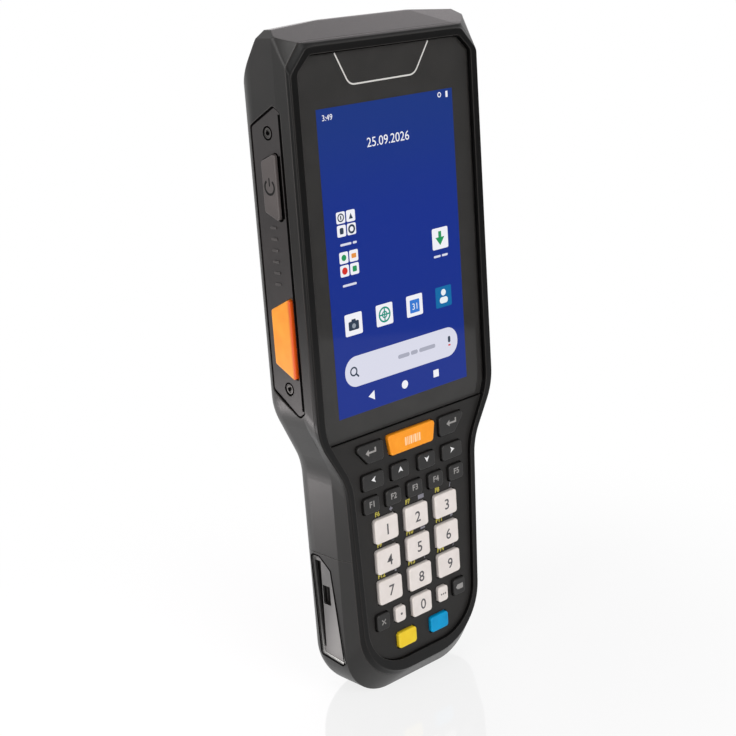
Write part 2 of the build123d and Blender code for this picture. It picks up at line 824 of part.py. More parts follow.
# ---- Main board with its screening cans, and the switches at its edges ---------------------------
with BuildPart() as main_board:
    with BuildSketch(at_y(main_board_front)):
        with Locations((0, main_board_middle)):
            Rectangle(2 * main_board_half, main_board_high - main_board_low)
        with Locations(*case_holes):
            Circle(pillar_radius + board_hole_gap, mode=Mode.SUBTRACT)
    extrude(amount=-main_board_thick)
    for can_x, can_z, can_wide, can_tall in cans:
        with BuildSketch(at_y(main_board_back)):
            with Locations((can_x, main_board_low + can_z)):
                RectangleRounded(can_wide, can_tall, small_round)
        extrude(amount=-can_high)
save(main_board, "main_board")


def slanted_points(near, far, low, high, slant):
    """A button seen from the side as (Y, Z), with both ends slanted towards its back edge."""
    return [
        (front + near, low),
        (front + near, high),
        (front + far, high - slant),
        (front + far, low + slant),
    ]


power_points = slanted_points(power_front, power_back, power_low, power_high, power_slant)
trigger_points = slanted_points(trigger_front, trigger_back, trigger_low, trigger_high, trigger_slant)
power_middle = (power_low + power_high) / 2
trigger_middle = (trigger_low + trigger_high) / 2
side_buttons = {
    "power_button": (-1, power_points, power_middle, power_travel),
    "left_trigger": (-1, trigger_points, trigger_middle, trigger_travel),
    "right_trigger": (1, trigger_points, trigger_middle, trigger_travel),
}
switch_y = main_board_back + switch_size[1] / 2
switch_outer = main_board_half + switch_overhang
plunger_end = switch_outer + plunger_long

with BuildPart() as side_switches:
    for side, points, middle, travel in side_buttons.values():
        with BuildSketch(at_x(side * switch_outer)):
            with Locations((switch_y, middle)):
                Rectangle(switch_size[1], switch_size[2])
        extrude(amount=-side * switch_size[0])
        with BuildSketch(at_x(side * switch_outer)):
            with Locations((switch_y, middle)):
                Circle(plunger_radius)
        extrude(amount=side * plunger_long)
save(side_switches, "side_switches")


# ---- Power button and the two scan triggers ------------------------------------------------------
def side_outline(points, grow, radius):
    """An outline seen from the side, made larger all round by grow, with rounded corners."""
    with BuildSketch() as face:
        Polygon(*points, align=None)
        if grow:
            offset(amount=grow, kind=Kind.INTERSECTION, mode=Mode.REPLACE)
        fillet(face.vertices(), radius)
    return face.sketch


plate_floor = head_half - side_plate_sunk - side_plate_thick
side_flange_out = plate_floor - flange_play
side_flange_in = side_flange_out - side_flange_thick
button_face = head_half + side_button_proud

for name, (side, points, middle, travel) in side_buttons.items():
    with BuildPart() as button:
        with BuildSketch(at_x(side * side_flange_out)):
            add(side_outline(points, 0, side_button_round))
        extrude(amount=side * (button_face - side_flange_out))
        outer_face = button.faces().sort_by(Axis.X)[-1 if side > 0 else 0]
        fillet(outer_face.edges(), side_button_edge)
        with BuildSketch(at_x(side * side_flange_out)):
            add(side_outline(points, side_flange_wide, side_button_round))
        extrude(amount=-side * side_flange_thick)
        with BuildSketch(at_x(side * side_flange_in)):
            with Locations((switch_y, middle)):
                Circle(stem_radius)
        extrude(amount=-side * (side_flange_in - plunger_end - travel - plunger_gap))
    save(button, name)

# ---- Side plates over the buttons ----------------------------------------------------------------
side_near = front + side_plate_front
side_far = back - back_round + side_plate_over
side_plate_points = [
    (side_near, side_plate_low + side_plate_cut),
    (side_near + side_plate_nose, side_plate_low),
    (side_far, side_plate_low + side_plate_low_step),
    (side_far, side_plate_high - side_plate_high_step),
    (side_near + side_plate_nose, side_plate_high),
    (side_near, side_plate_high - side_plate_cut),
]
plate_outer = plate_floor + side_plate_thick

for name, side in (("left_side_plate", -1), ("right_side_plate", 1)):
    with BuildPart() as side_plate:
        with BuildSketch(at_x(side * plate_floor)):
            add(side_outline(side_plate_points, -fit_gap, side_plate_round))
            for button_side, points, middle, travel in side_buttons.values():
                if button_side == side:
                    add(side_outline(points, side_button_gap, side_button_round), mode=Mode.SUBTRACT)
            with Locations(*side_holes):
                Circle(hole_radius, mode=Mode.SUBTRACT)
        extrude(amount=side * side_plate_thick)
        with BuildSketch(at_x(side * plate_outer)):
            with Locations(*side_holes):
                Circle(screw_head_radius + screw_hole_gap)
        extrude(amount=-side * (side_screw_head_thick + screw_head_sunk / 2), mode=Mode.SUBTRACT)
    save(side_plate, name)

# ---- The shell behind the parting line, before it is divided at the seam --------------------------
inner_block = case_block(wall)
with BuildPart() as rear_shell:
    add(case)
    with BuildSketch(at_y(parting)):
        Rectangle(4 * head_half, 3 * length)
    extrude(amount=depth, mode=Mode.SUBTRACT)
    with BuildSketch(at_y(parting)):
        add(front_outline(wall, 0, length))
    extrude(amount=-(flank_end - parting), mode=Mode.SUBTRACT)
    add(inner_block, mode=Mode.SUBTRACT)


def battery_opening(gap):
    """The opening for the battery cover in the back, moved in by gap."""
    with BuildSketch() as face:
        with Locations((0, (battery_low + battery_high) / 2)):
            RectangleRounded(
                2 * (battery_half - gap), battery_high - battery_low - 2 * gap, battery_round - gap
            )
    return face.sketch


# ---- Rear housing --------------------------------------------------------------------------------
head_seat = back - screw_head_sunk - screw_head_thick
brass_end = back - screw_head_sunk - brass_long
brass_places = [(-strap_x, strap_row), (strap_x, strap_row)]
lock_low = battery_high + lock_gap
lock_middle = lock_low + lock_high / 2
lock_outer = back - screw_head_sunk / 2
lock_floor = lock_outer - lock_thick - fit_gap
lock_foot_face = inner_back - fit_gap

with BuildPart() as rear_housing:
    add(rear_shell.part)
    split(bisect_by=Plane.XY.offset(seam), keep=Keep.TOP)
    with BuildSketch(at_y(inner_back)):
        with Locations(*case_holes):
            Circle(pillar_radius)
    extrude(amount=inner_back - chassis_back)
    with BuildSketch(at_y(inner_back)):
        with Locations(*brass_places):
            Circle(brass_boss_radius)
    extrude(amount=inner_back - brass_end + brass_floor)
    for side in (-1, 1):
        with BuildSketch(at_x(side * (head_half - wall))):
            with Locations(*side_holes):
                Circle(side_boss_radius)
        extrude(amount=-side * side_boss_long)
    # The back: battery opening, screw holes, inserts, lock, camera, speaker grille and window.
    with BuildSketch(at_y(back)):
        add(battery_opening(0))
        with Locations((0, camera_row)):
            Circle(camera_radius + fit_gap)
        with Locations((0, speaker_row)):
            with GridLocations(grille_pitch, grille_pitch, grille_columns, grille_rows):
                Circle(grille_radius)
    extrude(amount=wall, mode=Mode.SUBTRACT)
    with BuildSketch(at_y(back)):
        with Locations((0, camera_row)):
            Circle(camera_ring_radius)
    extrude(amount=camera_ring_deep, mode=Mode.SUBTRACT)
    with BuildSketch(at_y(back)):
        with Locations(*case_holes):
            Circle(screw_head_radius + screw_hole_gap)
    extrude(amount=back - head_seat, mode=Mode.SUBTRACT)
    with BuildSketch(at_y(back)):
        with Locations(*case_holes):
            Circle(hole_radius)
    extrude(amount=depth, mode=Mode.SUBTRACT)
    with BuildSketch(at_y(back)):
        with Locations(*brass_places):
            Circle(brass_radius)
    extrude(amount=back - brass_end, mode=Mode.SUBTRACT)
    with BuildSketch(at_y(back)):
        with Locations((0, (battery_high + lock_low + lock_high + lock_gap) / 2)):
            Rectangle(lock_width + 2 * lock_gap, lock_low + lock_high + lock_gap - battery_high)
    extrude(amount=back - lock_floor, mode=Mode.SUBTRACT)
    with BuildSketch(at_y(back)):
        with Locations((0, lock_middle - lock_travel / 2)):
            Rectangle(lock_neck[0] + 2 * fit_gap, lock_neck[1] + lock_travel + 2 * fit_gap)
    extrude(amount=wall, mode=Mode.SUBTRACT)
    with BuildSketch(window_plane):
        RectangleRounded(window_size[0] + 2 * fit_gap, window_size[1] + 2 * fit_gap, window_round)
    extrude(amount=-(window_sunk + window_thick), mode=Mode.SUBTRACT)
    with BuildSketch(window_plane):
        Rectangle(window_size[0] - 2 * window_lip, window_size[1] - 2 * window_lip)
    extrude(amount=-engine_near, mode=Mode.SUBTRACT)
    # The sides: pockets for the plates, with openings behind the buttons.
    for side in (-1, 1):
        with BuildSketch(at_x(side * plate_floor)):
            add(side_outline(side_plate_points, 0, side_plate_round))
        extrude(amount=side * wall, mode=Mode.SUBTRACT)
        with BuildSketch(at_x(side * plate_floor)):
            with Locations(*side_holes):
                Circle(hole_radius)
        extrude(amount=-side * side_screw_long, mode=Mode.SUBTRACT)
    for side, points, middle, travel in side_buttons.values():
        with BuildSketch(at_x(side * plate_floor)):
            add(side_outline(points, side_flange_wide + side_button_gap, side_button_round))
        extrude(amount=-side * wall, mode=Mode.SUBTRACT)
save(rear_housing, "rear_housing")

# ---- Foot cap: the lower end of the case, with the foot, two side bays and the dock's opening ------
bay_far_low = front + bay_back_low
bay_far_high = front + bay_back_high
bay_points = [
    (bay_far_low, bay_low + bay_rise),
    (bay_far_high, bay_high),
    (front + bay_front_high + bay_cut_wide, bay_high),
    (front + bay_front_high, bay_high - bay_cut_high),
    (front + bay_front_low, bay_low),
]
bay_floor = grip_half - bay_deep
slot_far_low = bay_far_low - slot_edge
slot_far_high = bay_far_high - slot_edge
slot_points = [
    (slot_far_low, slot_low),
    (slot_far_high, slot_high),
    (slot_far_high - slot_wide, slot_high),
    (slot_far_low - slot_wide_low, slot_low),
]
notch_points = [
    (slot_far_high - slot_wide, notch_low),
    (slot_far_high - slot_wide, notch_high),
    (slot_far_high - slot_wide - notch_wide, notch_high),
    (slot_far_high - slot_wide - notch_wide, notch_low),
]


def slot_outline():
    """The dark slot of a side bay with its square notch."""
    with BuildSketch() as face:
        Polygon(*slot_points, align=None)
        Polygon(*notch_points, align=None)
    return face.sketch


with BuildPart() as foot_cap:
    add(rear_shell.part)
    split(bisect_by=Plane.XY.offset(seam - seam_gap), keep=Keep.BOTTOM)
    with BuildSketch(at_y(inner_back)):
        with Locations(*foot_holes):
            Circle(foot_pillar_radius)
    extrude(amount=inner_back - skirt_end)
    for side in (-1, 1):
        with BuildSketch(at_x(side * bay_floor)):
            add(side_outline(bay_points, bay_backing_edge, bay_round))
            with Locations((0, seam - seam_gap + length / 2)):
                Rectangle(2 * depth, length, mode=Mode.SUBTRACT)
        extrude(amount=-side * (wall - bay_deep + bay_backing))
        with BuildSketch(at_x(side * bay_floor)):
            add(side_outline(bay_points, fit_gap, bay_round))
        extrude(amount=side * wall, mode=Mode.SUBTRACT)
        with BuildSketch(at_x(side * bay_floor)):
            add(slot_outline())
        extrude(amount=-side * slot_deep, mode=Mode.SUBTRACT)
    with BuildSketch(at_y(back)):
        add(battery_opening(0))
    extrude(amount=wall, mode=Mode.SUBTRACT)
    with BuildSketch(at_y(back)):
        with Locations(*foot_holes):
            Circle(screw_head_radius + screw_hole_gap)
    extrude(amount=back - head_seat, mode=Mode.SUBTRACT)
    with BuildSketch(at_y(back)):
        with Locations(*foot_holes):
            Circle(hole_radius)
    extrude(amount=depth, mode=Mode.SUBTRACT)
    with BuildSketch(Plane.XY):
        RectangleRounded(2 * connector_half, connector_depth, small_round)
    extrude(amount=wall, mode=Mode.SUBTRACT)
save(foot_cap, "foot_cap")

# ---- Inserts of the side bays --------------------------------------------------------------------
for name, side in (("left_bay_insert", -1), ("right_bay_insert", 1)):
    with BuildPart() as bay_insert:
        with BuildSketch(at_x(side * bay_floor)):
            add(side_outline(bay_points, 0, bay_round))
        extrude(amount=side * insert_thick)
        with BuildSketch(at_x(side * (bay_floor + insert_thick))):
            add(side_outline(bay_points, -insert_frame, small_round / 2))
        extrude(amount=-side * insert_panel_sunk, mode=Mode.SUBTRACT)
        with BuildSketch(at_x(side * bay_floor)):
            add(slot_outline())
        extrude(amount=side * insert_thick, mode=Mode.SUBTRACT)
    save(bay_insert, name)

# ---- Dock connector in the foot ------------------------------------------------------------------
with BuildPart() as dock_connector:
    with BuildSketch(Plane.XY.offset(wall)):
        Rectangle(2 * (connector_half + connector_edge), connector_depth + 2 * connector_edge)
    extrude(amount=connector_high)
    with BuildSketch(Plane.XY.offset(wall)):
        Rectangle(connector_tongue[0], connector_tongue[1])
    extrude(amount=-connector_tongue[2])
    with BuildSketch(at_y(-connector_tongue[1] / 2)):
        with Locations((0, wall - pin_size[2] / 2)):
            with GridLocations(pin_pitch, 1, connector_pins, 1):
                Rectangle(pin_size[0], pin_size[2])
    extrude(amount=pin_size[1])
save(dock_connector, "dock_connector")

# ---- Battery: cells, cover, tray, contacts and lock ----------------------------------------------
cover_inner = inner_back + battery_play
cell_front = cover_inner - cell_thick
tray_floor = cell_front - battery_gap

battery_grip_low = battery_low + battery_grip_foot
battery_grips = [(0, battery_grip_low + i * battery_grip_pitch) for i in range(battery_grip_count)]

with BuildPart() as battery_cover:
    with BuildSketch(at_y(back)):
        add(battery_opening(battery_gap))
    extrude(amount=back - cover_inner)
    add(case, mode=Mode.INTERSECT)
    with BuildSketch(at_y(back)):
        with Locations((0, battery_high)):
            Rectangle(lock_width + 2 * lock_gap, 2 * (lock_travel + lock_gap))
    extrude(amount=back - lock_floor, mode=Mode.SUBTRACT)
    with BuildSketch(at_y(back)):
        with Locations(*battery_grips):
            SlotOverall(battery_grip_long, battery_grip_wide)
    extrude(amount=battery_grip_deep, mode=Mode.SUBTRACT)
save(battery_cover, "battery_cover")

with BuildPart() as battery_pack:
    with BuildSketch(at_y(cover_inner)):
        with Locations((0, (cell_low + cell_high) / 2)):
            Rectangle(2 * cell_half, cell_high - cell_low)
    extrude(amount=cell_thick)
    fillet(battery_pack.edges().filter_by(Axis.Z), cell_round)
save(battery_pack, "battery_pack")

contact_places = [((i - (contact_count - 1) / 2) * contact_pitch, contact_row) for i in range(contact_count)]
with BuildPart() as battery_tray:
    with BuildSketch(at_y(inner_back)):
        with Locations((0, (cell_low + cell_high) / 2)):
            Rectangle(
                2 * (cell_half + battery_gap + tray_wall),
                cell_high - cell_low + 2 * (battery_gap + tray_wall),
            )
    extrude(amount=inner_back - tray_floor + tray_wall)
    with BuildSketch(at_y(inner_back)):
        with Locations((0, (cell_low + cell_high) / 2)):
            Rectangle(
                2 * (cell_half + battery_gap + tray_wall + tray_flange),
                cell_high - cell_low + 2 * (battery_gap + tray_wall + tray_flange),
            )
    extrude(amount=tray_flange_thick)
    add(inner_block, mode=Mode.INTERSECT)
    with BuildSketch(at_y(inner_back)):
        with Locations((0, (cell_low + cell_high) / 2)):
            Rectangle(2 * (cell_half + battery_gap), cell_high - cell_low + 2 * battery_gap)
    extrude(amount=inner_back - tray_floor, mode=Mode.SUBTRACT)
    with BuildSketch(at_y(tray_floor)):
        with Locations(*contact_places):
            Rectangle(*contact_size)
    extrude(amount=tray_wall, mode=Mode.SUBTRACT)
save(battery_tray, "battery_tray")

with BuildPart() as battery_contacts:
    with BuildSketch(at_y(cell_front - contact_gap)):
        with Locations(*contact_places):
            Rectangle(*contact_size)
    extrude(amount=battery_gap - contact_gap + 2 * tray_wall)
save(battery_contacts, "battery_contacts")

with BuildPart() as battery_lock:
    with BuildSketch(at_y(lock_outer)):
        with Locations((0, lock_middle)):
            RectangleRounded(lock_width, lock_high, lock_round)
    extrude(amount=lock_thick)
    with BuildSketch(at_y(lock_outer)):
        with Locations((0, lock_middle)):
            with GridLocations(1, lock_rib_pitch, 1, lock_ribs):
                SlotOverall(lock_width - 2 * lock_round, lock_rib_pitch / 2)
    extrude(amount=lock_rib_deep, mode=Mode.SUBTRACT)
    with BuildSketch(at_y(lock_outer - lock_thick)):
        with Locations((0, lock_middle)):
            Rectangle(*lock_neck)
    extrude(amount=lock_outer - lock_thick - lock_foot_face)
    with BuildSketch(at_y(lock_foot_face)):
        with Locations((0, lock_middle)):
            Rectangle(*lock_foot)
    extrude(amount=lock_foot_thick)
save(battery_lock, "battery_lock")

# ---- Scan engine, its window, camera and speaker -------------------------------------------------
with BuildPart() as scan_window:
    with BuildSketch(window_plane.offset(-window_sunk)):
        RectangleRounded(window_size[0], window_size[1], window_round)
    extrude(amount=-window_thick)
save(scan_window, "scan_window")

with BuildPart() as scan_engine:
    with BuildSketch(window_plane.offset(-engine_near)):
        Rectangle(engine_size[0], engine_size[1])
    extrude(amount=-engine_size[2])
    for eye_x, eye_radius in engine_eyes:
        with BuildSketch(window_plane.offset(-engine_near)):
            with Locations((eye_x, 0)):
                Circle(eye_radius)
        extrude(amount=-eye_deep, mode=Mode.SUBTRACT)
save(scan_engine, "scan_engine")

with BuildPart() as camera_module:
    with BuildSketch(at_y(inner_back)):
        with Locations((0, camera_row)):
            RectangleRounded(camera_size[0], camera_size[0], small_round)
    extrude(amount=camera_size[1])
    with BuildSketch(at_y(inner_back)):
        with Locations((0, camera_row)):
            Circle(camera_radius)
    extrude(amount=-(wall - camera_ring_deep))
    with BuildSketch(at_y(back - camera_ring_deep)):
        with Locations((0, camera_row)):
            Circle(camera_lens_radius)
    extrude(amount=camera_ring_deep, mode=Mode.SUBTRACT)
save(camera_module, "camera_module")

with BuildPart() as speaker:
    with BuildSketch(at_y(inner_back)):
        with Locations((0, speaker_row)):
            RectangleRounded(speaker_size[0], speaker_size[2], 2 * small_round)
    extrude(amount=speaker_size[1])
save(speaker, "speaker")

with BuildPart() as strap_inserts:
    with BuildSketch(at_y(brass_end)):
        with Locations(*brass_places):
            Circle(brass_radius)
            Circle(brass_bore, mode=Mode.SUBTRACT)
    extrude(amount=-brass_long)
save(strap_inserts, "strap_inserts")


# ---- Screws --------------------------------------------------------------------------------------
def screws(plane, places, inward, head_thick, long):
    """Like screws with their heads on a plane. Inward is +1 or -1, along the plane's normal."""
    with BuildPart() as group:
        with BuildSketch(plane):
            with Locations(*places):
                Circle(screw_head_radius)
        extrude(amount=inward * head_thick)
        with BuildSketch(plane.offset(inward * head_thick)):
            with Locations(*places):
                Circle(screw_radius)
        extrude(amount=inward * long)
        with BuildSketch(plane):
            with Locations(*places):
                RegularPolygon(socket_radius, 6)
        extrude(amount=inward * head_thick * socket_share, mode=Mode.SUBTRACT)
    return group.part


with BuildPart() as screw_set:
    add(screws(at_y(head_seat + screw_head_thick), case_holes, 1, screw_head_thick,
               head_seat - skirt_end - screw_tip_gap))
    add(screws(at_y(head_seat + screw_head_thick), foot_holes, 1, screw_head_thick,
               head_seat - skirt_end + inner_hole_deep - screw_tip_gap))
    add(screws(at_y(chassis_back + screw_head_thick), inner_holes, 1, screw_head_thick, inner_screw_long))
    add(screws(at_y(board_back + screw_head_thick), board_holes, 1, screw_head_thick, inner_screw_long))
    for side in (-1, 1):
        add(screws(at_x(side * (plate_outer - screw_head_sunk / 2)), side_holes, -side,
                   side_screw_head_thick, side_screw_long))
save(screw_set, "case_screws")
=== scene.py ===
import math

import bmesh
import bpy
from mathutils import Matrix, Vector


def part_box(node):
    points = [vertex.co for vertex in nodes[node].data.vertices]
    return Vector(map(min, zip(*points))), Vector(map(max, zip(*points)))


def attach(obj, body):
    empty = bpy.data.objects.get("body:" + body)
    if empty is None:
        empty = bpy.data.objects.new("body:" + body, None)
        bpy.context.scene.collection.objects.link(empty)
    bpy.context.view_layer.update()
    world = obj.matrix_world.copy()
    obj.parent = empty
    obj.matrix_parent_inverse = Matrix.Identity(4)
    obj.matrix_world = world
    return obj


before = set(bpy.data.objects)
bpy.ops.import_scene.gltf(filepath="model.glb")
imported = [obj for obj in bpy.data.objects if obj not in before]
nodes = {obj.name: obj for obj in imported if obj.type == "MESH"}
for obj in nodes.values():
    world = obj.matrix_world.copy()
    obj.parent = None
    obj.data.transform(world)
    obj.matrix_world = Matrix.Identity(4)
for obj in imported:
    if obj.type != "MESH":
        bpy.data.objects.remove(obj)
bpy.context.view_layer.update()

# ---- Camera --------------------------------------------------------------------------------------
# The terminal stands upright and is seen from its left, from a little above its middle. A long lens
# keeps its edges nearly parallel.
IMAGE_SIDE = 736                  # in pixels, as the focal length is
FOCAL_PIXELS = 1489.05
SENSOR = 36.0
CAMERA_PLACE = Vector((-0.307743, -0.338112, 0.236276))
CAMERA_LOOK = Vector((0.64130443, 0.71627258, -0.27510401))
CAMERA_UP = Vector((0.2358446, 0.15716885, 0.95899702))
camera_data = bpy.data.cameras.new("product_camera")
camera_data.sensor_width = SENSOR
camera_data.lens = FOCAL_PIXELS / IMAGE_SIDE * SENSOR
camera_data.clip_start, camera_data.clip_end = 0.01, 20.0
camera = bpy.data.objects.new("product_camera", camera_data)
bpy.context.scene.collection.objects.link(camera)
look = CAMERA_LOOK.normalized()
upward = CAMERA_UP.normalized()
sideways = look.cross(upward)
camera.matrix_world = Matrix((
    (sideways.x, upward.x, -look.x, CAMERA_PLACE.x),
    (sideways.y, upward.y, -look.y, CAMERA_PLACE.y),
    (sideways.z, upward.z, -look.z, CAMERA_PLACE.z),
    (0, 0, 0, 1),
))
bpy.context.scene.camera = camera

# ---- Studio: white room and softboxes ------------------------------------------------------------
# A large softbox in front and one at the left light the terminal, and two weaker ones stand behind
# its right. A small one low on the left lights the grip's flank. The room itself is plain white.
bpy.context.scene.view_settings.view_transform = "Standard"
ROOM_LIGHT = 0.30
SOFTBOXES = (
    # name, place, width and height, power, tint
    ("left_softbox", (-0.85, -0.10, 0.30), (0.30, 0.60), 2.6, (1.0, 0.985, 0.975)),
    ("front_softbox", (-0.10, -0.95, 0.55), (0.60, 0.55), 6.5, (1.0, 0.99, 0.98)),
    ("top_softbox", (0.62, 0.40, 0.80), (0.60, 0.40), 1.2, (1.0, 0.89, 0.93)),
    ("back_softbox", (0.45, 0.80, 0.40), (0.50, 0.50), 0.9, (1.0, 0.94, 0.96)),
    ("low_softbox", (-0.150, 0.140, 0.022), (0.08, 0.03), 0.085, (1.0, 0.94, 0.94)),
)
AIM = Vector((0, 0, 0.11))        # the middle of the terminal


def wire(tree, *pairs):
    """Joins sockets of a node tree, each pair from an output to an input."""
    for output, entry in pairs:
        tree.links.new(output, entry)


def math_node(tree, operation):
    """A Math node that does one operation."""
    node = tree.nodes.new("ShaderNodeMath")
    node.operation = operation
    return node


def plainly_seen(tree):
    """1 for the rays of the camera, of gloss and through glass, and 0 for the light on the terminal."""
    path = tree.nodes.new("ShaderNodeLightPath")
    seen = math_node(tree, "MAXIMUM")
    shown = math_node(tree, "MAXIMUM")
    wire(tree,
         (path.outputs["Is Camera Ray"], seen.inputs[0]),
         (path.outputs["Is Glossy Ray"], seen.inputs[1]),
         (seen.outputs[0], shown.inputs[0]),
         (path.outputs["Is Transmission Ray"], shown.inputs[1]))
    return shown.outputs[0]


world = bpy.data.worlds.new("white_room")
bpy.context.scene.world = world
world.use_nodes = True
room = world.node_tree
room.nodes.clear()
room_out = room.nodes.new("ShaderNodeOutputWorld")
room_mix = room.nodes.new("ShaderNodeMixShader")
room_light = room.nodes.new("ShaderNodeBackground")
room_light.inputs["Color"].default_value = (0.96, 0.97, 1.0, 1)
room_light.inputs["Strength"].default_value = ROOM_LIGHT
room_white = room.nodes.new("ShaderNodeBackground")
room_white.inputs["Color"].default_value = (1, 1, 1, 1)
room_white.inputs["Strength"].default_value = 1.0
wire(room,
     (plainly_seen(room), room_mix.inputs[0]),
     (room_light.outputs[0], room_mix.inputs[1]),
     (room_white.outputs[0], room_mix.inputs[2]),
     (room_mix.outputs[0], room_out.inputs["Surface"]))

for name, place, size, power, tint in SOFTBOXES:
    lamp_data = bpy.data.lights.new(name, "AREA")
    lamp_data.shape = "RECTANGLE"
    lamp_data.size, lamp_data.size_y = size
    lamp_data.energy = power
    lamp_data.color = tint
    lamp = bpy.data.objects.new(name, lamp_data)
    bpy.context.scene.collection.objects.link(lamp)
    lamp.location = place
    lamp.rotation_euler = (AIM - Vector(place)).to_track_quat("-Z", "Y").to_euler()

# ---- Studio: table -------------------------------------------------------------------------------
# A white glossy table. It keeps a soft shadow and a faint mirror image close to the terminal and
# runs into the white room further off.
TABLE_HALF = 3.0
SHADOW_NEAR, SHADOW_FAR = 0.06, 0.22
OWN_WHITE = 0.80                  # share of plain white in the table beside the terminal


def ramp(tree, start=0.0, end=1.0, low=0.0, high=1.0, smooth=False):
    """A Map Range node that takes start to low and end to high."""
    node = tree.nodes.new("ShaderNodeMapRange")
    if smooth:
        node.interpolation_type = "SMOOTHSTEP"
    for socket, value in (("From Min", start), ("From Max", end), ("To Min", low), ("To Max", high)):
        node.inputs[socket].default_value = value
    return node


table_form = bmesh.new()
bmesh.ops.create_grid(table_form, x_segments=1, y_segments=1, size=TABLE_HALF)
table_mesh = bpy.data.meshes.new("studio_table")
table_form.to_mesh(table_mesh)
table_form.free()
studio_table = bpy.data.objects.new("studio_table", table_mesh)
bpy.context.scene.collection.objects.link(studio_table)
table_white = bpy.data.materials.new("white_table")
table_white.use_nodes = True
tree = table_white.node_tree
table_out = tree.nodes["Material Output"]
table_gloss = tree.nodes["Principled BSDF"]
table_gloss.inputs["Base Color"].default_value = (0.90, 0.90, 0.90, 1)
table_gloss.inputs["Roughness"].default_value = 0.06
table_gloss.inputs["IOR"].default_value = 2.8
table_glow = tree.nodes.new("ShaderNodeEmission")
table_glow.inputs["Strength"].default_value = 1.0
table_mix = tree.nodes.new("ShaderNodeMixShader")
table_place = tree.nodes.new("ShaderNodeTexCoord")
table_reach = tree.nodes.new("ShaderNodeVectorMath")
table_reach.operation = "LENGTH"
table_fade = ramp(tree, SHADOW_NEAR, SHADOW_FAR, OWN_WHITE, 1.0, smooth=True)
table_share = math_node(tree, "MULTIPLY")
wire(tree,
     (table_place.outputs["Object"], table_reach.inputs[0]),
     (table_reach.outputs["Value"], table_fade.inputs["Value"]),
     (plainly_seen(tree), table_share.inputs[0]),
     (table_fade.outputs["Result"], table_share.inputs[1]),
     (table_share.outputs[0], table_mix.inputs[0]),
     (table_gloss.outputs[0], table_mix.inputs[1]),
     (table_glow.outputs[0], table_mix.inputs[2]),
     (table_mix.outputs[0], table_out.inputs["Surface"]))
table_mesh.materials.append(table_white)

# ---- Studio: black cards -------------------------------------------------------------------------
# A black felt card stands on the table behind the left of the terminal, and one in front of its
# right. Only gloss shows them, as the darker tone of the flank beside the display and of the rim.
CARD_WIDE = 0.44
CARD_TURN = 42                    # in degrees
CARD_GAP = 0.001                  # between a card and the table
CARDS = (
    # name, place on the table, height
    ("left_black_card", (-0.33, 0.33), 0.095),
    ("right_black_card", (0.30, -0.34), 0.22),
)
card_black = bpy.data.materials.new("card_black")
card_black.use_nodes = True
tree = card_black.node_tree
card_felt = tree.nodes["Principled BSDF"]
card_felt.inputs["Roughness"].default_value = 0.9
card_weave = tree.nodes.new("ShaderNodeTexNoise")
card_weave.inputs["Scale"].default_value = 900.0
card_tone = ramp(tree, low=0.010, high=0.016)
wire(tree,
     (card_weave.outputs["Fac"], card_tone.inputs["Value"]),
     (card_tone.outputs["Result"], card_felt.inputs["Base Color"]))
for name, (x, y), high in CARDS:
    card_form = bmesh.new()
    bmesh.ops.create_grid(card_form, x_segments=1, y_segments=1, size=0.5)
    bmesh.ops.scale(card_form, vec=(CARD_WIDE, high, 1.0), verts=card_form.verts)
    bmesh.ops.rotate(card_form, matrix=Matrix.Rotation(math.pi / 2, 3, "X"), verts=card_form.verts)
    bmesh.ops.rotate(card_form, matrix=Matrix.Rotation(math.radians(CARD_TURN), 3, "Z"),
                     verts=card_form.verts)
    bmesh.ops.translate(card_form, vec=(x, y, high / 2 + CARD_GAP), verts=card_form.verts)
    card_mesh = bpy.data.meshes.new(name)
    card_form.to_mesh(card_mesh)
    card_form.free()
    card_mesh.materials.append(card_black)
    black_card = bpy.data.objects.new(name, card_mesh)
    bpy.context.scene.collection.objects.link(black_card)
    for use in ("camera", "diffuse", "transmission", "shadow"):
        setattr(black_card, f"visible_{use}", False)

# ---- Housing: rear shell, front rim, foot cap and battery cover ----------------------------------
# Injection-moulded from glass-filled plastic in a dark warm grey, with a fine spark-eroded texture.
# Every mould edge has a small soft radius and a lighter tone, partly polish from handling and partly a
# painted highlight.


def paint(red, green, blue):
    """A finish colour as it shows, turned into the linear values that a shader takes."""
    linear = []
    for part in (red, green, blue):
        share = part / 255
        linear.append(share / 12.92 if share <= 0.04045 else ((share + 0.055) / 1.055) ** 2.4)
    return (*linear, 1.0)


def mixed(tree, first=None, second=None):
    """A node that mixes two colours."""
    node = tree.nodes.new("ShaderNodeMix")
    node.data_type = "RGBA"
    for socket, colour in (("A", first), ("B", second)):
        if colour:
            node.inputs[socket].default_value = paint(*colour)
    return node


moulded_surface = bpy.data.node_groups.new("moulded_surface", "ShaderNodeTree")
for socket, value in (
    ("Grain Scale", 3000.0),
    ("Grain Strength", 0.2),
    ("Blotch Scale", 120.0),
    ("Edge Radius", 0.0003),
):
    opening = moulded_surface.interface.new_socket(
        name=socket, in_out="INPUT", socket_type="NodeSocketFloat")
    opening.default_value = value
for socket, kind in (("Blotch", "Float"), ("Grain", "Float"), ("Edge", "Float"), ("Normal", "Vector")):
    moulded_surface.interface.new_socket(
        name=socket, in_out="OUTPUT", socket_type=f"NodeSocket{kind}")
tree = moulded_surface
group_in = tree.nodes.new("NodeGroupInput")
group_out = tree.nodes.new("NodeGroupOutput")
place = tree.nodes.new("ShaderNodeTexCoord")
grain = tree.nodes.new("ShaderNodeTexNoise")
grain.inputs["Detail"].default_value = 3.0
grain.inputs["Roughness"].default_value = 0.55
blotch = tree.nodes.new("ShaderNodeTexNoise")
blotch.inputs["Detail"].default_value = 4.0
soft_edge = tree.nodes.new("ShaderNodeBevel")
soft_edge.samples = 6
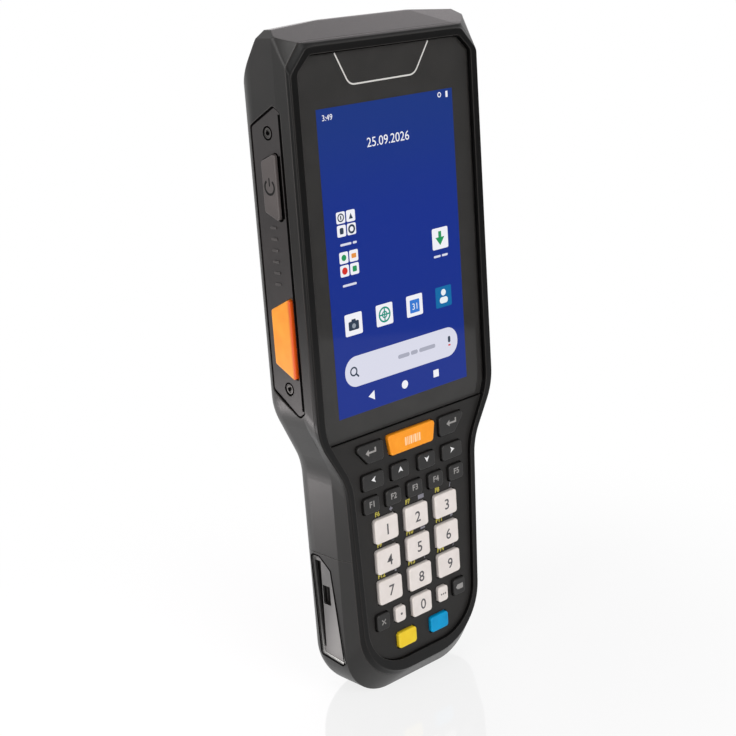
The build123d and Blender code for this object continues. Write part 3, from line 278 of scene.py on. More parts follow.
bump = tree.nodes.new("ShaderNodeBump")
bump.inputs["Distance"].default_value = 0.00006
flat_normal = tree.nodes.new("ShaderNodeNewGeometry")
turn = tree.nodes.new("ShaderNodeVectorMath")
turn.operation = "DOT_PRODUCT"
edge_mask = ramp(tree, 0.995, 0.86)
wire(tree,
     (place.outputs["Object"], grain.inputs["Vector"]),
     (place.outputs["Object"], blotch.inputs["Vector"]),
     (group_in.outputs["Grain Scale"], grain.inputs["Scale"]),
     (group_in.outputs["Blotch Scale"], blotch.inputs["Scale"]),
     (group_in.outputs["Edge Radius"], soft_edge.inputs["Radius"]),
     (group_in.outputs["Grain Strength"], bump.inputs["Strength"]),
     (grain.outputs["Fac"], bump.inputs["Height"]),
     (soft_edge.outputs["Normal"], bump.inputs["Normal"]),
     (soft_edge.outputs["Normal"], turn.inputs[0]),
     (flat_normal.outputs["Normal"], turn.inputs[1]),
     (turn.outputs["Value"], edge_mask.inputs["Value"]),
     (blotch.outputs["Fac"], group_out.inputs["Blotch"]),
     (grain.outputs["Fac"], group_out.inputs["Grain"]),
     (edge_mask.outputs["Result"], group_out.inputs["Edge"]),
     (bump.outputs["Normal"], group_out.inputs["Normal"]))


def moulded(name, colour, shade, edge, rough, grain=(3000.0, 0.2), blotch=120.0, radius=0.0003,
            metallic=0.0, coat=0.0, specular=0.5):
    """A procedural finish: colour drifts to shade in soft blotches, and towards edge on the edges, a
    lighter tone that is partly wear and partly a painted highlight. rough gives the least and the most
    roughness."""
    material = bpy.data.materials.new(name)
    material.use_nodes = True
    tree = material.node_tree
    shader = tree.nodes["Principled BSDF"]
    surface = tree.nodes.new("ShaderNodeGroup")
    surface.node_tree = moulded_surface
    surface.inputs["Grain Scale"].default_value = grain[0]
    surface.inputs["Grain Strength"].default_value = grain[1]
    surface.inputs["Blotch Scale"].default_value = blotch
    surface.inputs["Edge Radius"].default_value = radius
    body = mixed(tree, colour, shade)
    spread = ramp(tree, 0.35, 0.65)
    # the edge tone is partly wear and partly a painted highlight
    worn_and_lit_edge = mixed(tree, second=edge)
    gloss = ramp(tree, 0.3, 0.7, *rough)
    wire(tree,
         (surface.outputs["Blotch"], spread.inputs["Value"]),
         (spread.outputs["Result"], body.inputs["Factor"]),
         (body.outputs["Result"], worn_and_lit_edge.inputs["A"]),
         (surface.outputs["Edge"], worn_and_lit_edge.inputs["Factor"]),
         (worn_and_lit_edge.outputs["Result"], shader.inputs["Base Color"]),
         (surface.outputs["Grain"], gloss.inputs["Value"]),
         (gloss.outputs["Result"], shader.inputs["Roughness"]),
         (surface.outputs["Normal"], shader.inputs["Normal"]))
    shader.inputs["Metallic"].default_value = metallic
    shader.inputs["Coat Weight"].default_value = coat
    shader.inputs["Specular IOR Level"].default_value = specular
    return material


def dress(material, *names):
    """Gives the CAD nodes of these names a finish."""
    for node_name in names:
        for material_slot in nodes[node_name].material_slots:
            material_slot.material = material


case_plastic = moulded("case_plastic", (28, 26, 25), (24, 23, 22), (60, 57, 55), (0.30, 0.44),
                       grain=(3600.0, 0.22), blotch=90.0, radius=0.0005, specular=0.40)
dress(case_plastic, "rear_housing", "foot_cap", "battery_cover")
# The front rim takes the same plastic painted darker: its darker colour is painted shade.
rim_shaded_plastic = moulded("rim_shaded_plastic", (15, 14, 14), (12, 12, 12), (54, 51, 49), (0.28, 0.42),
                      grain=(3600.0, 0.2), blotch=90.0, radius=0.0005, specular=0.18)
dress(rim_shaded_plastic, "front_housing")

# ---- Seal, keypad mat and strap inserts ----------------------------------------------------------
# The seal between the two halves of the case is a black silicone cord moulding, and the keypad mat
# is silicone too. The strap inserts are turned brass, pressed into bosses on the back.
seal_rubber = moulded("seal_rubber", (22, 22, 22), (18, 18, 18), (30, 30, 30), (0.55, 0.7),
                      grain=(5000.0, 0.1))
dress(seal_rubber, "housing_seal")
mat_rubber = moulded("mat_rubber", (70, 71, 74), (60, 61, 64), (84, 85, 88), (0.5, 0.65),
                     grain=(5000.0, 0.1))
dress(mat_rubber, "keypad_mat")
turned_brass = moulded("turned_brass", (196, 160, 92), (176, 140, 78), (226, 196, 130), (0.22, 0.34),
                       grain=(9000.0, 0.06), metallic=1.0, radius=0.0001)
dress(turned_brass, "strap_inserts", "battery_contacts")

# ---- Chassis, boards, screws and small modules ---------------------------------------------------
# A stamped steel chassis carries the green circuit boards. The screws are blackened steel, the snap
# domes sprung stainless steel, and the scan engine, speaker and switches black moulded modules.
stamped_steel = moulded("stamped_steel", (150, 152, 154), (132, 134, 137), (190, 192, 194), (0.28, 0.42),
                        grain=(2500.0, 0.08), metallic=1.0)
dress(stamped_steel, "inner_frame")
board_green = moulded("board_green", (20, 74, 46), (16, 60, 40), (60, 110, 80), (0.25, 0.38),
                      grain=(2500.0, 0.12), blotch=600.0, radius=0.0001, coat=0.3)
dress(board_green, "main_board", "keypad_board")
black_steel = moulded("black_steel", (92, 90, 88), (80, 78, 77), (140, 138, 135), (0.26, 0.40),
                      grain=(6000.0, 0.1), metallic=0.8, radius=0.00012)
dress(black_steel, "case_screws")
spring_steel = moulded("spring_steel", (188, 190, 192), (170, 172, 175), (220, 221, 222), (0.16, 0.26),
                       grain=(7000.0, 0.05), metallic=1.0, radius=0.0001)
dress(spring_steel, "dome_switches")
module_black = moulded("module_black", (30, 30, 32), (24, 24, 26), (52, 52, 54), (0.36, 0.5),
                       grain=(4500.0, 0.15), radius=0.00015)
dress(module_black, "scan_engine", "speaker", "side_switches", "camera_module", "dock_connector",
      "display_module")

# ---- Battery, its tray and its lock --------------------------------------------------------------
# The cells are wrapped in dark shrink film and slide out with the cover. The tray behind them is
# unpainted black plastic, and the lock is moulded in the orange of the triggers.
battery_wrap = moulded("battery_wrap", (40, 44, 52), (33, 37, 45), (70, 74, 82), (0.24, 0.34),
                       grain=(1800.0, 0.1), coat=0.2)
dress(battery_wrap, "battery_pack")
tray_black = moulded("tray_black", (34, 34, 34), (28, 28, 28), (50, 50, 50), (0.45, 0.6))
dress(tray_black, "battery_tray")
trigger_orange = moulded("trigger_orange", (250, 152, 38), (246, 142, 30), (255, 178, 74), (0.34, 0.46),
                         grain=(4200.0, 0.12), blotch=200.0, radius=0.0003)
dress(trigger_orange, "battery_lock")

# ---- Scan triggers -------------------------------------------------------------------------------
# Each flank has a scan trigger, a hard cap moulded in amber plastic that works a switch inside. Towards
# the edge beside the display a deeper orange is painted shade, for the shade on the trigger's side wall.
MM = 0.001                        # one millimetre, in metres
TRIGGER_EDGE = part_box("left_trigger")[0].y
SHADE_FROM, SHADE_FULL = 2.4, 1.0   # where the painted shade starts and where it is full, from the trigger's front edge
trigger_gloss = moulded("trigger_gloss", (255, 166, 42), (253, 156, 34), (255, 190, 84), (0.34, 0.46),
                        grain=(4200.0, 0.12), blotch=200.0, radius=0.0003)
tree = trigger_gloss.node_tree
shader = tree.nodes["Principled BSDF"]
trigger_place = tree.nodes.new("ShaderNodeTexCoord")
trigger_axes = tree.nodes.new("ShaderNodeSeparateXYZ")
trigger_shade_mask = ramp(tree, TRIGGER_EDGE + SHADE_FROM * MM, TRIGGER_EDGE + SHADE_FULL * MM, smooth=True)
trigger_side_shade = mixed(tree, second=(224, 84, 10))
trigger_colour = shader.inputs["Base Color"].links[0].from_socket
wire(tree,
     (trigger_place.outputs["Object"], trigger_axes.inputs["Vector"]),
     (trigger_axes.outputs["Y"], trigger_shade_mask.inputs["Value"]),
     (trigger_shade_mask.outputs["Result"], trigger_side_shade.inputs["Factor"]),
     (trigger_colour, trigger_side_shade.inputs["A"]),
     (trigger_side_shade.outputs["Result"], shader.inputs["Base Color"]))
dress(trigger_gloss, "left_trigger", "right_trigger")

# ---- Side plates and power button ----------------------------------------------------------------
# Thin moulded plates are screwed into the flanks and frame the trigger and the power button. A row
# of short raised bars gives the thumb a mark, and the power button carries the ring and bar sign.
side_plastic = moulded("side_plastic", (50, 46, 46), (45, 42, 42), (86, 82, 80), (0.34, 0.48),
                       grain=(3600.0, 0.24), radius=0.0003, specular=0.44)
dress(side_plastic, "left_side_plate", "right_side_plate")
button_plastic = moulded("button_plastic", (88, 82, 81), (82, 77, 76), (116, 111, 108), (0.32, 0.44),
                         grain=(3600.0, 0.2), radius=0.0003, specular=0.40)
dress(button_plastic, "power_button")


def finished(name, form, material, body):
    """Makes a closed form a piece of its own, in its material, that rides on a body."""
    bmesh.ops.recalc_face_normals(form, faces=form.faces)
    mesh = bpy.data.meshes.new(name)
    form.to_mesh(mesh)
    form.free()
    mesh.materials.append(material)
    made = bpy.data.objects.new(name, mesh)
    bpy.context.scene.collection.objects.link(made)
    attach(made, body)
    return made


def tile(form, x, z, wide, high, front, thick, radius=0.0, turn=0.0, segments=4):
    """A flat bar with rounded corners that faces forward, in millimetres. turn is in degrees."""
    verts = bmesh.ops.create_cube(form, size=1.0)["verts"]
    bmesh.ops.scale(form, vec=(wide * MM, thick * MM, high * MM), verts=verts)
    bmesh.ops.rotate(form, matrix=Matrix.Rotation(math.radians(turn), 3, "Y"), verts=verts)
    bmesh.ops.translate(form, vec=(x * MM, (front + thick / 2) * MM, z * MM), verts=verts)
    if radius:
        upright = {e for v in verts for e in v.link_edges
                   if abs((e.verts[0].co - e.verts[1].co).normalized().y) > 0.9}
        bmesh.ops.bevel(form, geom=list(upright), offset=radius * MM, segments=segments,
                        affect="EDGES", profile=0.5, material=-1)


def disc(form, x, z, radius, front, thick, segments=32):
    """A round flat disc that faces forward, in millimetres."""
    verts = bmesh.ops.create_cone(form, cap_ends=True, segments=segments, radius1=radius * MM,
                                  radius2=radius * MM, depth=thick * MM)["verts"]
    bmesh.ops.rotate(form, matrix=Matrix.Rotation(math.pi / 2, 3, "X"), verts=verts)
    bmesh.ops.translate(form, vec=(x * MM, (front + thick / 2) * MM, z * MM), verts=verts)


def cut_out(form, points, front, thick):
    """A flat shape with straight sides that faces forward, from its corners, in millimetres."""
    corners = [form.verts.new((x * MM, front * MM, z * MM)) for x, z in points]
    made = bmesh.ops.extrude_face_region(form, geom=[form.faces.new(corners)], use_keep_orig=True)
    moved = [v for v in made["geom"] if isinstance(v, bmesh.types.BMVert)]
    bmesh.ops.translate(form, vec=(0, thick * MM, 0), verts=moved)


def hoop(form, x, z, outer, inner, front, thick, segments=40):
    """A flat ring that faces forward, in millimetres."""
    edges = []
    verts = []
    for radius in (outer, inner):
        loop = bmesh.ops.create_circle(form, segments=segments, radius=radius * MM)["verts"]
        verts += loop
        edges += list({e for v in loop for e in v.link_edges})
    faces = bmesh.ops.bridge_loops(form, edges=edges)["faces"]
    made = bmesh.ops.extrude_face_region(form, geom=faces, use_keep_orig=True)["geom"]
    lifted = [v for v in made if isinstance(v, bmesh.types.BMVert)]
    bmesh.ops.translate(form, vec=(0, 0, -thick * MM), verts=lifted)
    verts += lifted
    bmesh.ops.rotate(form, matrix=Matrix.Rotation(math.pi / 2, 3, "X"), verts=verts)
    bmesh.ops.translate(form, vec=(x * MM, front * MM, z * MM), verts=verts)


def words(form, text, x, z, high, front, thick, bold=0.0):
    """Figures that face forward, centred on x and z and as high as given, in millimetres. bold makes
    their strokes wider."""
    data = bpy.data.curves.new("figures", "FONT")
    data.body = text
    data.extrude = 0.5
    data.offset = bold
    data.resolution_u = 4
    maker = bpy.data.objects.new("figures", data)
    bpy.context.scene.collection.objects.link(maker)
    bpy.context.view_layer.update()
    flat = bpy.data.meshes.new_from_object(maker.evaluated_get(bpy.context.evaluated_depsgraph_get()))
    bpy.data.objects.remove(maker)
    bpy.data.curves.remove(data)
    old = set(form.verts)
    form.from_mesh(flat)
    bpy.data.meshes.remove(flat)
    verts = [v for v in form.verts if v not in old]
    low = [min(v.co[axis] for v in verts) for axis in range(3)]
    top = [max(v.co[axis] for v in verts) for axis in range(3)]
    size = high * MM / (top[1] - low[1])
    bmesh.ops.translate(form, vec=(-(low[0] + top[0]) / 2, -(low[1] + top[1]) / 2, -top[2]), verts=verts)
    bmesh.ops.scale(form, vec=(size, size, thick * MM / (top[2] - low[2])), verts=verts)
    bmesh.ops.rotate(form, matrix=Matrix.Rotation(math.pi / 2, 3, "X"), verts=verts)
    bmesh.ops.translate(form, vec=(x * MM, front * MM, z * MM), verts=verts)
    bmesh.ops.remove_doubles(form, verts=verts, dist=1e-7)


def turned_left(form, low_x):
    """Turns a form that faces forward to face left, its front at low_x, about the Z axis."""
    bmesh.ops.rotate(form, matrix=Matrix.Rotation(-math.pi / 2, 3, "Z"), verts=form.verts)
    bmesh.ops.translate(form, vec=(low_x * MM, 0, 0), verts=form.verts)


def side_face(node_name, turned):
    """The outline of a node's outermost face on its side, as corners (x, z) in millimetres for a form
    that faces forward. turned is 1 on the left and -1 on the right."""
    form = bmesh.new()
    form.from_mesh(nodes[node_name].data)
    bmesh.ops.remove_doubles(form, verts=form.verts, dist=1e-7)
    reach = max(-turned * v.co.x for v in form.verts)
    outer = [f for f in form.faces if all(-turned * v.co.x > reach - 2e-6 for v in f.verts)]
    other = [f for f in form.faces if f not in set(outer)]
    bmesh.ops.delete(form, geom=other, context="FACES")
    rims = {e for e in form.edges if len(e.link_faces) == 1}
    loops = []
    while rims:
        edge = rims.pop()
        first, corner = edge.verts
        points = [first.co.copy(), corner.co.copy()]
        while True:
            following = [e for e in corner.link_edges if e in rims]
            if not following:
                break
            rims.discard(following[0])
            corner = following[0].other_vert(corner)
            points.append(corner.co.copy())
        loops.append(points[:-1])
    form.free()
    loop = max(loops, key=lambda points: max(p.z for p in points) - min(p.z for p in points))
    return [(-turned * p.y / MM, p.z / MM) for p in loop]


def grown(points, by):
    """An outline moved outward by a distance, or inward when it is negative."""
    spots = [Vector(point) for point in points]
    spots = [p for p, q in zip(spots, spots[1:] + spots[:1]) if (q - p).length > 0.02]
    area = sum(p.x * q.y - q.x * p.y for p, q in zip(spots, spots[1:] + spots[:1]))
    hand = 1 if area > 0 else -1
    made = []
    for before, spot, after in zip(spots[-1:] + spots[:-1], spots, spots[1:] + spots[:1]):
        one = (spot - before).normalized()
        two = (after - spot).normalized()
        one = Vector((one.y, -one.x)) * hand
        two = Vector((two.y, -two.x)) * hand
        made.append(spot + (one + two) / max(1 + one.dot(two), 0.2) * by)
    return made


def band(form, points, outer, inner, front, thick):
    """A flat ring that follows an outline, from outer to inner millimetres outside it."""
    loops = [[form.verts.new((p.x * MM, front * MM, p.y * MM)) for p in grown(points, by)]
             for by in (outer, inner)]
    count = len(loops[0])
    faces = [form.faces.new((loops[0][i], loops[0][(i + 1) % count],
                             loops[1][(i + 1) % count], loops[1][i])) for i in range(count)]
    made = bmesh.ops.extrude_face_region(form, geom=faces, use_keep_orig=True)["geom"]
    back_verts = [v for v in made if isinstance(v, bmesh.types.BMVert)]
    bmesh.ops.translate(form, vec=(0, thick * MM, 0), verts=back_verts)


def to_side(form, turned, reach):
    """Turns a form that faces forward to the left or right side, its front reach from the middle."""
    turned_left(form, -reach)
    if turned < 0:
        bmesh.ops.rotate(form, matrix=Matrix.Rotation(math.pi, 3, "Z"), verts=form.verts)


CASE_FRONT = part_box("front_housing")[0].y / MM
PLATE_REACH = -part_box("left_side_plate")[0].x / MM
SIDE_SCREW_Y = CASE_FRONT + 12.0
SCREW_IN_FOOT, SCREW_IN_TOP = 8.3, 7.7      # from the plate's lower and upper end
# sizes of the painted shade round each side screw and in its socket
SHADE_RING = (2.1, 1.62)                        # outer and inner radius
SOCKET_SHADE = 0.62
FRONT_SHADE_STRIP = 1.36                          # the painted shade round the plate is wider towards the front
# A flat black for painted shade: the bands, rings and discs made in it stand for the shade in gaps and
# recesses.
gap_shade_black = moulded("gap_shade_black", (12, 11, 11), (9, 9, 9), (16, 15, 15), (0.6, 0.75),
                     grain=(5000.0, 0.08), radius=0.00005, specular=0.0)
DASH_Y = CASE_FRONT + 12.8
DASH_FOOT, DASH_STEP, DASH_COUNT = 140.5, 3.4, 6
DASH_PROUD = 0.25
bar_plastic = moulded("bar_plastic", (74, 70, 69), (66, 63, 62), (112, 107, 105), (0.30, 0.42),
                      grain=(3600.0, 0.2), radius=0.0001)
for side, turned in (("left", 1), ("right", -1)):
    dashes = bmesh.new()
    for row in range(DASH_COUNT):
        tile(dashes, -turned * DASH_Y, DASH_FOOT + DASH_STEP * row, 2.6, 0.7, 0, 0.35, radius=0.25)
    to_side(dashes, turned, PLATE_REACH + DASH_PROUD)
    finished(f"{side}_thumb_bars", dashes, bar_plastic, "housing")
    # a black band round the plate is painted shade, for the shade in the gap between the plate and the
    # case
    plate_gap_shade = bmesh.new()
    outline = side_face(f"{side}_side_plate", turned)
    band(plate_gap_shade, outline, 0.02, -0.42, 0, 0.10)
    ahead = max(turned * x for x, z in outline)
    levels = [z for x, z in outline if turned * x > ahead - 0.05]
    tile(plate_gap_shade, turned * (ahead - FRONT_SHADE_STRIP / 2), (min(levels) + max(levels)) / 2, FRONT_SHADE_STRIP,
         max(levels) - min(levels), 0, 0.10)
    to_side(plate_gap_shade, turned, PLATE_REACH + 0.05)
    finished(f"{side}_plate_gap_shade", plate_gap_shade, gap_shade_black, "housing")
    # black rings round the screw heads and black discs in their sockets are painted shade, for the shade
    # in the recess round each head and in its socket
    plate_low, plate_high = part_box(f"{side}_side_plate")
    shade_rings = bmesh.new()
    for row in (plate_low.z / MM + SCREW_IN_FOOT, plate_high.z / MM - SCREW_IN_TOP):
        hoop(shade_rings, -turned * SIDE_SCREW_Y, row, *SHADE_RING, 0, 0.08)
        disc(shade_rings, -turned * SIDE_SCREW_Y, row, SOCKET_SHADE, -0.10, 0.14, segments=12)
    to_side(shade_rings, turned, PLATE_REACH + 0.04)
    finished(f"{side}_screw_shade_rings", shade_rings, gap_shade_black, "housing")

sign_dark = moulded("sign_dark", (14, 13, 13), (11, 11, 10), (20, 19, 19), (0.5, 0.6), radius=0.00005,
                    specular=0.2)
button_low, button_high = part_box("power_button")
POWER_ROW = (button_low.z + button_high.z) / 2 / MM
POWER_Y = CASE_FRONT + 11.8
SIGN_RING = (2.45, 1.75)                    # outer and inner radius
SIGN_GAP_FROM = 1.6                         # the ring is open above this height
SIGN_THICK, SIGN_PROUD = 0.05, 0.0005
power_sign = bmesh.new()
hoop(power_sign, 0, 0, *SIGN_RING, 0, SIGN_THICK)
gap = [f for f in power_sign.faces if f.calc_center_median().z > SIGN_GAP_FROM * MM]
bmesh.ops.delete(power_sign, geom=gap, context="FACES")
bmesh.ops.holes_fill(power_sign, edges=power_sign.edges, sides=8)
tile(power_sign, 0, 1.5, 0.55, 2.6, 0, SIGN_THICK, radius=0.2)
bmesh.ops.translate(power_sign, vec=(-POWER_Y * MM, 0, POWER_ROW * MM), verts=power_sign.verts)
turned_left(power_sign, button_low.x / MM - SIGN_PROUD)
finished("power_sign", power_sign, sign_dark, "power_button")
# a black ring round the button is painted shade, for the shade in the gap round it, wider towards the
# front where the button's front side is in shade
button_shade = bmesh.new()
outline = side_face("power_button", 1)
band(button_shade, outline, 0.75, 0.16, 0, 0.08)
front_half = [v for v in button_shade.verts if v.co.x > -(button_low.y + button_high.y) / 2]
bmesh.ops.translate(button_shade, vec=(0.35 * MM, 0, -0.1 * MM), verts=front_half)
ahead = max(x for x, z in outline)
levels = [z for x, z in outline if x > ahead - 0.05]
tile(button_shade, ahead + 0.95, (min(levels) + max(levels)) / 2, 1.5, max(levels) - min(levels) + 0.6, 0, 0.08)
to_side(button_shade, 1, PLATE_REACH + 0.03)
finished("power_button_shade", button_shade, gap_shade_black, "housing")

# ---- Camera lens ---------------------------------------------------------------------------------
# The lens in the back is a coated glass disc in a black barrel, with its iris ring behind the glass.
# It is glued into the camera module.
camera_low, camera_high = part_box("camera_module")
CAMERA_X, CAMERA_Z = (camera_low.x + camera_high.x) / 2 / MM, (camera_low.z + camera_high.z) / 2 / MM
lens_glass = moulded("lens_glass", (16, 18, 30), (12, 13, 24), (20, 22, 34), (0.04, 0.08),
                     grain=(900.0, 0.0), radius=0.00005, coat=1.0)
iris_metal = moulded("iris_metal", (96, 98, 104), (84, 86, 92), (120, 122, 128), (0.2, 0.3),
                     grain=(6000.0, 0.03), radius=0.00005, metallic=0.8)
for name, material, parts in (
    ("camera_glass", lens_glass, ((2.7, 0.0, 0.06),)),
    ("camera_iris", iris_metal, ((3.1, 2.7, 0.10), (1.6, 1.35, 0.08))),
):
    part_form = bmesh.new()
    for outer, inner, thick in parts:
        if inner:
            hoop(part_form, -CAMERA_X, CAMERA_Z, outer, inner, -thick, thick)
        else:
            disc(part_form, -CAMERA_X, CAMERA_Z, outer, -thick, thick)
    bmesh.ops.rotate(part_form, matrix=Matrix.Rotation(math.pi, 3, "Z"), verts=part_form.verts)
    bmesh.ops.translate(part_form, vec=(0, camera_high.y, 0), verts=part_form.verts)
    finished(name, part_form, material, "housing")

# ---- Side bays -----------------------------------------------------------------------------------
# Each bay at the foot holds a zinc die-cast insert: its raised frame is polished bright, and the sunken
# panel inside it is coated glossy grey. Frame and panel are painted lighter towards the front and the
# foot, as a painted reflection, and the groove is painted black, as the shade in it.
BAY_STEP = 0.02855                # the frame stands beyond this distance from the middle, in metres
BAY_GROOVE = (0.02835, 0.02815)   # and the groove lies within these
bay_metal = moulded("bay_metal", (112, 110, 110), (100, 99, 99), (150, 149, 148), (0.30, 0.40),
                    grain=(5200.0, 0.04), blotch=60.0, radius=0.0002, metallic=0.5)
tree = bay_metal.node_tree
shader = tree.nodes["Principled BSDF"]
bay_place = tree.nodes.new("ShaderNodeTexCoord")
bay_axes = tree.nodes.new("ShaderNodeSeparateXYZ")
bay_out = math_node(tree, "ABSOLUTE")
bay_low, bay_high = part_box("left_bay_insert")
bay_across = ramp(tree, bay_low.y, bay_high.y)
bay_up = ramp(tree, bay_low.z, bay_high.z)
bay_sum = math_node(tree, "ADD")
# painted reflection: frame and panel grow lighter towards the front and the foot
bay_painted_sheen = ramp(tree, 1.35, 0.35, smooth=True)
bay_frame = ramp(tree, BAY_STEP, BAY_STEP + 0.0001)
bay_groove = ramp(tree, *BAY_GROOVE)
bay_shine = ramp(tree, low=0.5, high=0.0)
panel_tone = mixed(tree, second=(158, 155, 154))
frame_tone = mixed(tree, (96, 95, 94), (236, 235, 232))
bay_tone = mixed(tree)
# painted shade: the groove turns black and loses its metal
bay_groove_shade = mixed(tree, second=(9, 9, 9))
panel_colour = shader.inputs["Base Color"].links[0].from_socket
wire(tree,
     (bay_place.outputs["Object"], bay_axes.inputs["Vector"]),
     (bay_axes.outputs["X"], bay_out.inputs[0]),
     (bay_out.outputs[0], bay_frame.inputs["Value"]),
     (bay_out.outputs[0], bay_groove.inputs["Value"]),
     (bay_axes.outputs["Y"], bay_across.inputs["Value"]),
     (bay_axes.outputs["Z"], bay_up.inputs["Value"]),
     (bay_across.outputs["Result"], bay_sum.inputs[0]),
     (bay_up.outputs["Result"], bay_sum.inputs[1]),
     (bay_sum.outputs[0], bay_painted_sheen.inputs["Value"]),
     (bay_painted_sheen.outputs["Result"], panel_tone.inputs["Factor"]),
     (bay_painted_sheen.outputs["Result"], frame_tone.inputs["Factor"]),
     (panel_colour, panel_tone.inputs["A"]),
     (panel_tone.outputs["Result"], bay_tone.inputs["A"]),
     (frame_tone.outputs["Result"], bay_tone.inputs["B"]),
     (bay_frame.outputs["Result"], bay_tone.inputs["Factor"]),
     (bay_tone.outputs["Result"], bay_groove_shade.inputs["A"]),
     (bay_groove.outputs["Result"], bay_groove_shade.inputs["Factor"]),
     (bay_groove.outputs["Result"], bay_shine.inputs["Value"]),
     (bay_groove_shade.outputs["Result"], shader.inputs["Base Color"]),
     (bay_shine.outputs["Result"], shader.inputs["Metallic"]))
dress(bay_metal, "left_bay_insert", "right_bay_insert")
BAY_REACH = max(-bay_low.x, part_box("foot_cap")[1].x) / MM
# a black band round each insert is painted shade, for the shade in the gap round it
for side, turned in (("left", 1), ("right", -1)):
    bay_gap_shade = bmesh.new()
    band(bay_gap_shade, side_face(f"{side}_bay_insert", turned), 0.4, -0.06, 0, 0.1)
    to_side(bay_gap_shade, turned, BAY_REACH + 0.04)
    finished(f"{side}_bay_gap_shade", bay_gap_shade, gap_shade_black, "housing")

# ---- Cover glass and scan window -----------------------------------------------------------------
# The cover glass is a flat chemically hardened pane with a ground edge, bonded to the display. The
# scan window in the crown is tinted dark red acrylic.


def clear(name, tint, stain, rough, cover, start):
    """A see-through material. stain colours what lies behind it, and cover is the share that its own
    tint hides. It gains gloss where the Fresnel share passes start. A high start leaves the gloss to
    the layers bonded to its back, except from very flat angles."""
    material = bpy.data.materials.new(name)
    material.use_nodes = True
    tree = material.node_tree
    shader = tree.nodes["Principled BSDF"]
    through = tree.nodes.new("ShaderNodeBsdfTransparent")
    through.inputs["Color"].default_value = paint(*stain)
    edge_gloss = tree.nodes.new("ShaderNodeFresnel")
    edge_gloss.inputs["IOR"].default_value = 1.5
    coated = ramp(tree, start, 1.0, cover, cover + 0.5 * (1 - cover))
    inner_side = tree.nodes.new("ShaderNodeNewGeometry")
    outer_only = ramp(tree, low=1.0, high=0.0)
    share = math_node(tree, "MULTIPLY")
    surface = tree.nodes.new("ShaderNodeMixShader")
    place = tree.nodes.new("ShaderNodeTexCoord")
    smear = tree.nodes.new("ShaderNodeTexNoise")
    smear.inputs["Scale"].default_value = 60.0
    gloss = ramp(tree, 0.0, 1.0, *rough)
    wire(tree,
         (edge_gloss.outputs["Fac"], coated.inputs["Value"]),
         (inner_side.outputs["Backfacing"], outer_only.inputs["Value"]),
         (coated.outputs["Result"], share.inputs[0]),
         (outer_only.outputs["Result"], share.inputs[1]),
         (share.outputs[0], surface.inputs[0]),
         (through.outputs[0], surface.inputs[1]),
         (shader.outputs[0], surface.inputs[2]),
         (surface.outputs[0], tree.nodes["Material Output"].inputs["Surface"]),
         (place.outputs["Object"], smear.inputs["Vector"]),
         (smear.outputs["Fac"], gloss.inputs["Value"]),
         (gloss.outputs["Result"], shader.inputs["Roughness"]))
    shader.inputs["Base Color"].default_value = paint(*tint)
    shader.inputs["Metallic"].default_value = 1.0 if cover == 0 else 0.0
    return material


pane_glass = clear("pane_glass", (250, 250, 250), (255, 255, 255), (0.03, 0.07), 0.0, 0.3)
dress(pane_glass, "cover_glass")
nodes["cover_glass"].visible_shadow = False
window_red = clear("window_red", (84, 12, 16), (176, 64, 62), (0.04, 0.09), 0.16, 0.0)
dress(window_red, "scan_window")

# ---- Printing on the back of the glass -----------------------------------------------------------
# The back of the pane is screen-printed: a dark grey border that hides the display's edges, and a
# thin silver line round a bare field at the top.
pane_low, pane_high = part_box("cover_glass")
PANE_HALF = pane_high.x / MM
PANE_FOOT, PANE_TOP = pane_low.z / MM, pane_high.z / MM
PANE_FRONT, PANE_BACK = pane_low.y / MM, pane_high.y / MM
PANE_CUT = (4.9, 4.7)             # width and height of the pane's cut corners
PANE_BEND = 2.3                   # and the rounding of their bends
INK = 0.02                        # thickness of a printed layer
# width of the painted shade round the pane
GAP_SHADE_WIDE = 0.22


def pane_outline(inset):
    """The outline of the pane, moved in by inset, as one flat face on its back."""
    form = bmesh.new()
    half, foot, top = PANE_HALF - inset, PANE_FOOT + inset, PANE_TOP - inset
    wide, high = PANE_CUT
    points = ((-half, foot), (half, foot), (half, top - high), (half - wide, top),
              (-half + wide, top), (-half, top - high))
    corners = [form.verts.new((x * MM, 0, z * MM)) for x, z in points]
    form.faces.new(corners)
    bmesh.ops.bevel(form, geom=corners[2:], offset=PANE_BEND / 2 * MM, segments=6, affect="VERTICES",
                    profile=0.5, material=-1)
    return form


def thickened(form, front, thick):
    """Gives flat faces a thickness, with their front at front, in millimetres."""
    made = bmesh.ops.extrude_face_region(form, geom=form.faces[:], use_keep_orig=True)["geom"]
    back_verts = [v for v in made if isinstance(v, bmesh.types.BMVert)]
    bmesh.ops.translate(form, vec=(0, thick * MM, 0), verts=back_verts)
    bmesh.ops.translate(form, vec=(0, front * MM, 0), verts=form.verts)
    return form


print_front = PANE_BACK - 0.06
border_print = moulded("border_print", (50, 49, 48), (47, 46, 45), (50, 49, 48), (0.5, 0.6),
                       grain=(8000.0, 0.0), radius=0.00005, coat=0.35, specular=0.1)
border_print.node_tree.nodes["Principled BSDF"].inputs["Coat Roughness"].default_value = 0.05
border = thickened(pane_outline(0.1), print_front, INK)
finished("glass_border", border, border_print, "housing")

# a black band round the pane is painted shade, for the shade in the gap round it
pane_gap_shade = pane_outline(0.0)
bmesh.ops.inset_region(pane_gap_shade, faces=pane_gap_shade.faces[:], thickness=GAP_SHADE_WIDE * MM, use_even_offset=True,
                       use_boundary=True)
bmesh.ops.delete(pane_gap_shade, geom=[max(pane_gap_shade.faces, key=lambda face: face.calc_area())], context="FACES")
finished("glass_gap_shade", thickened(pane_gap_shade, PANE_FRONT - 0.03, 0.2), gap_shade_black, "housing")

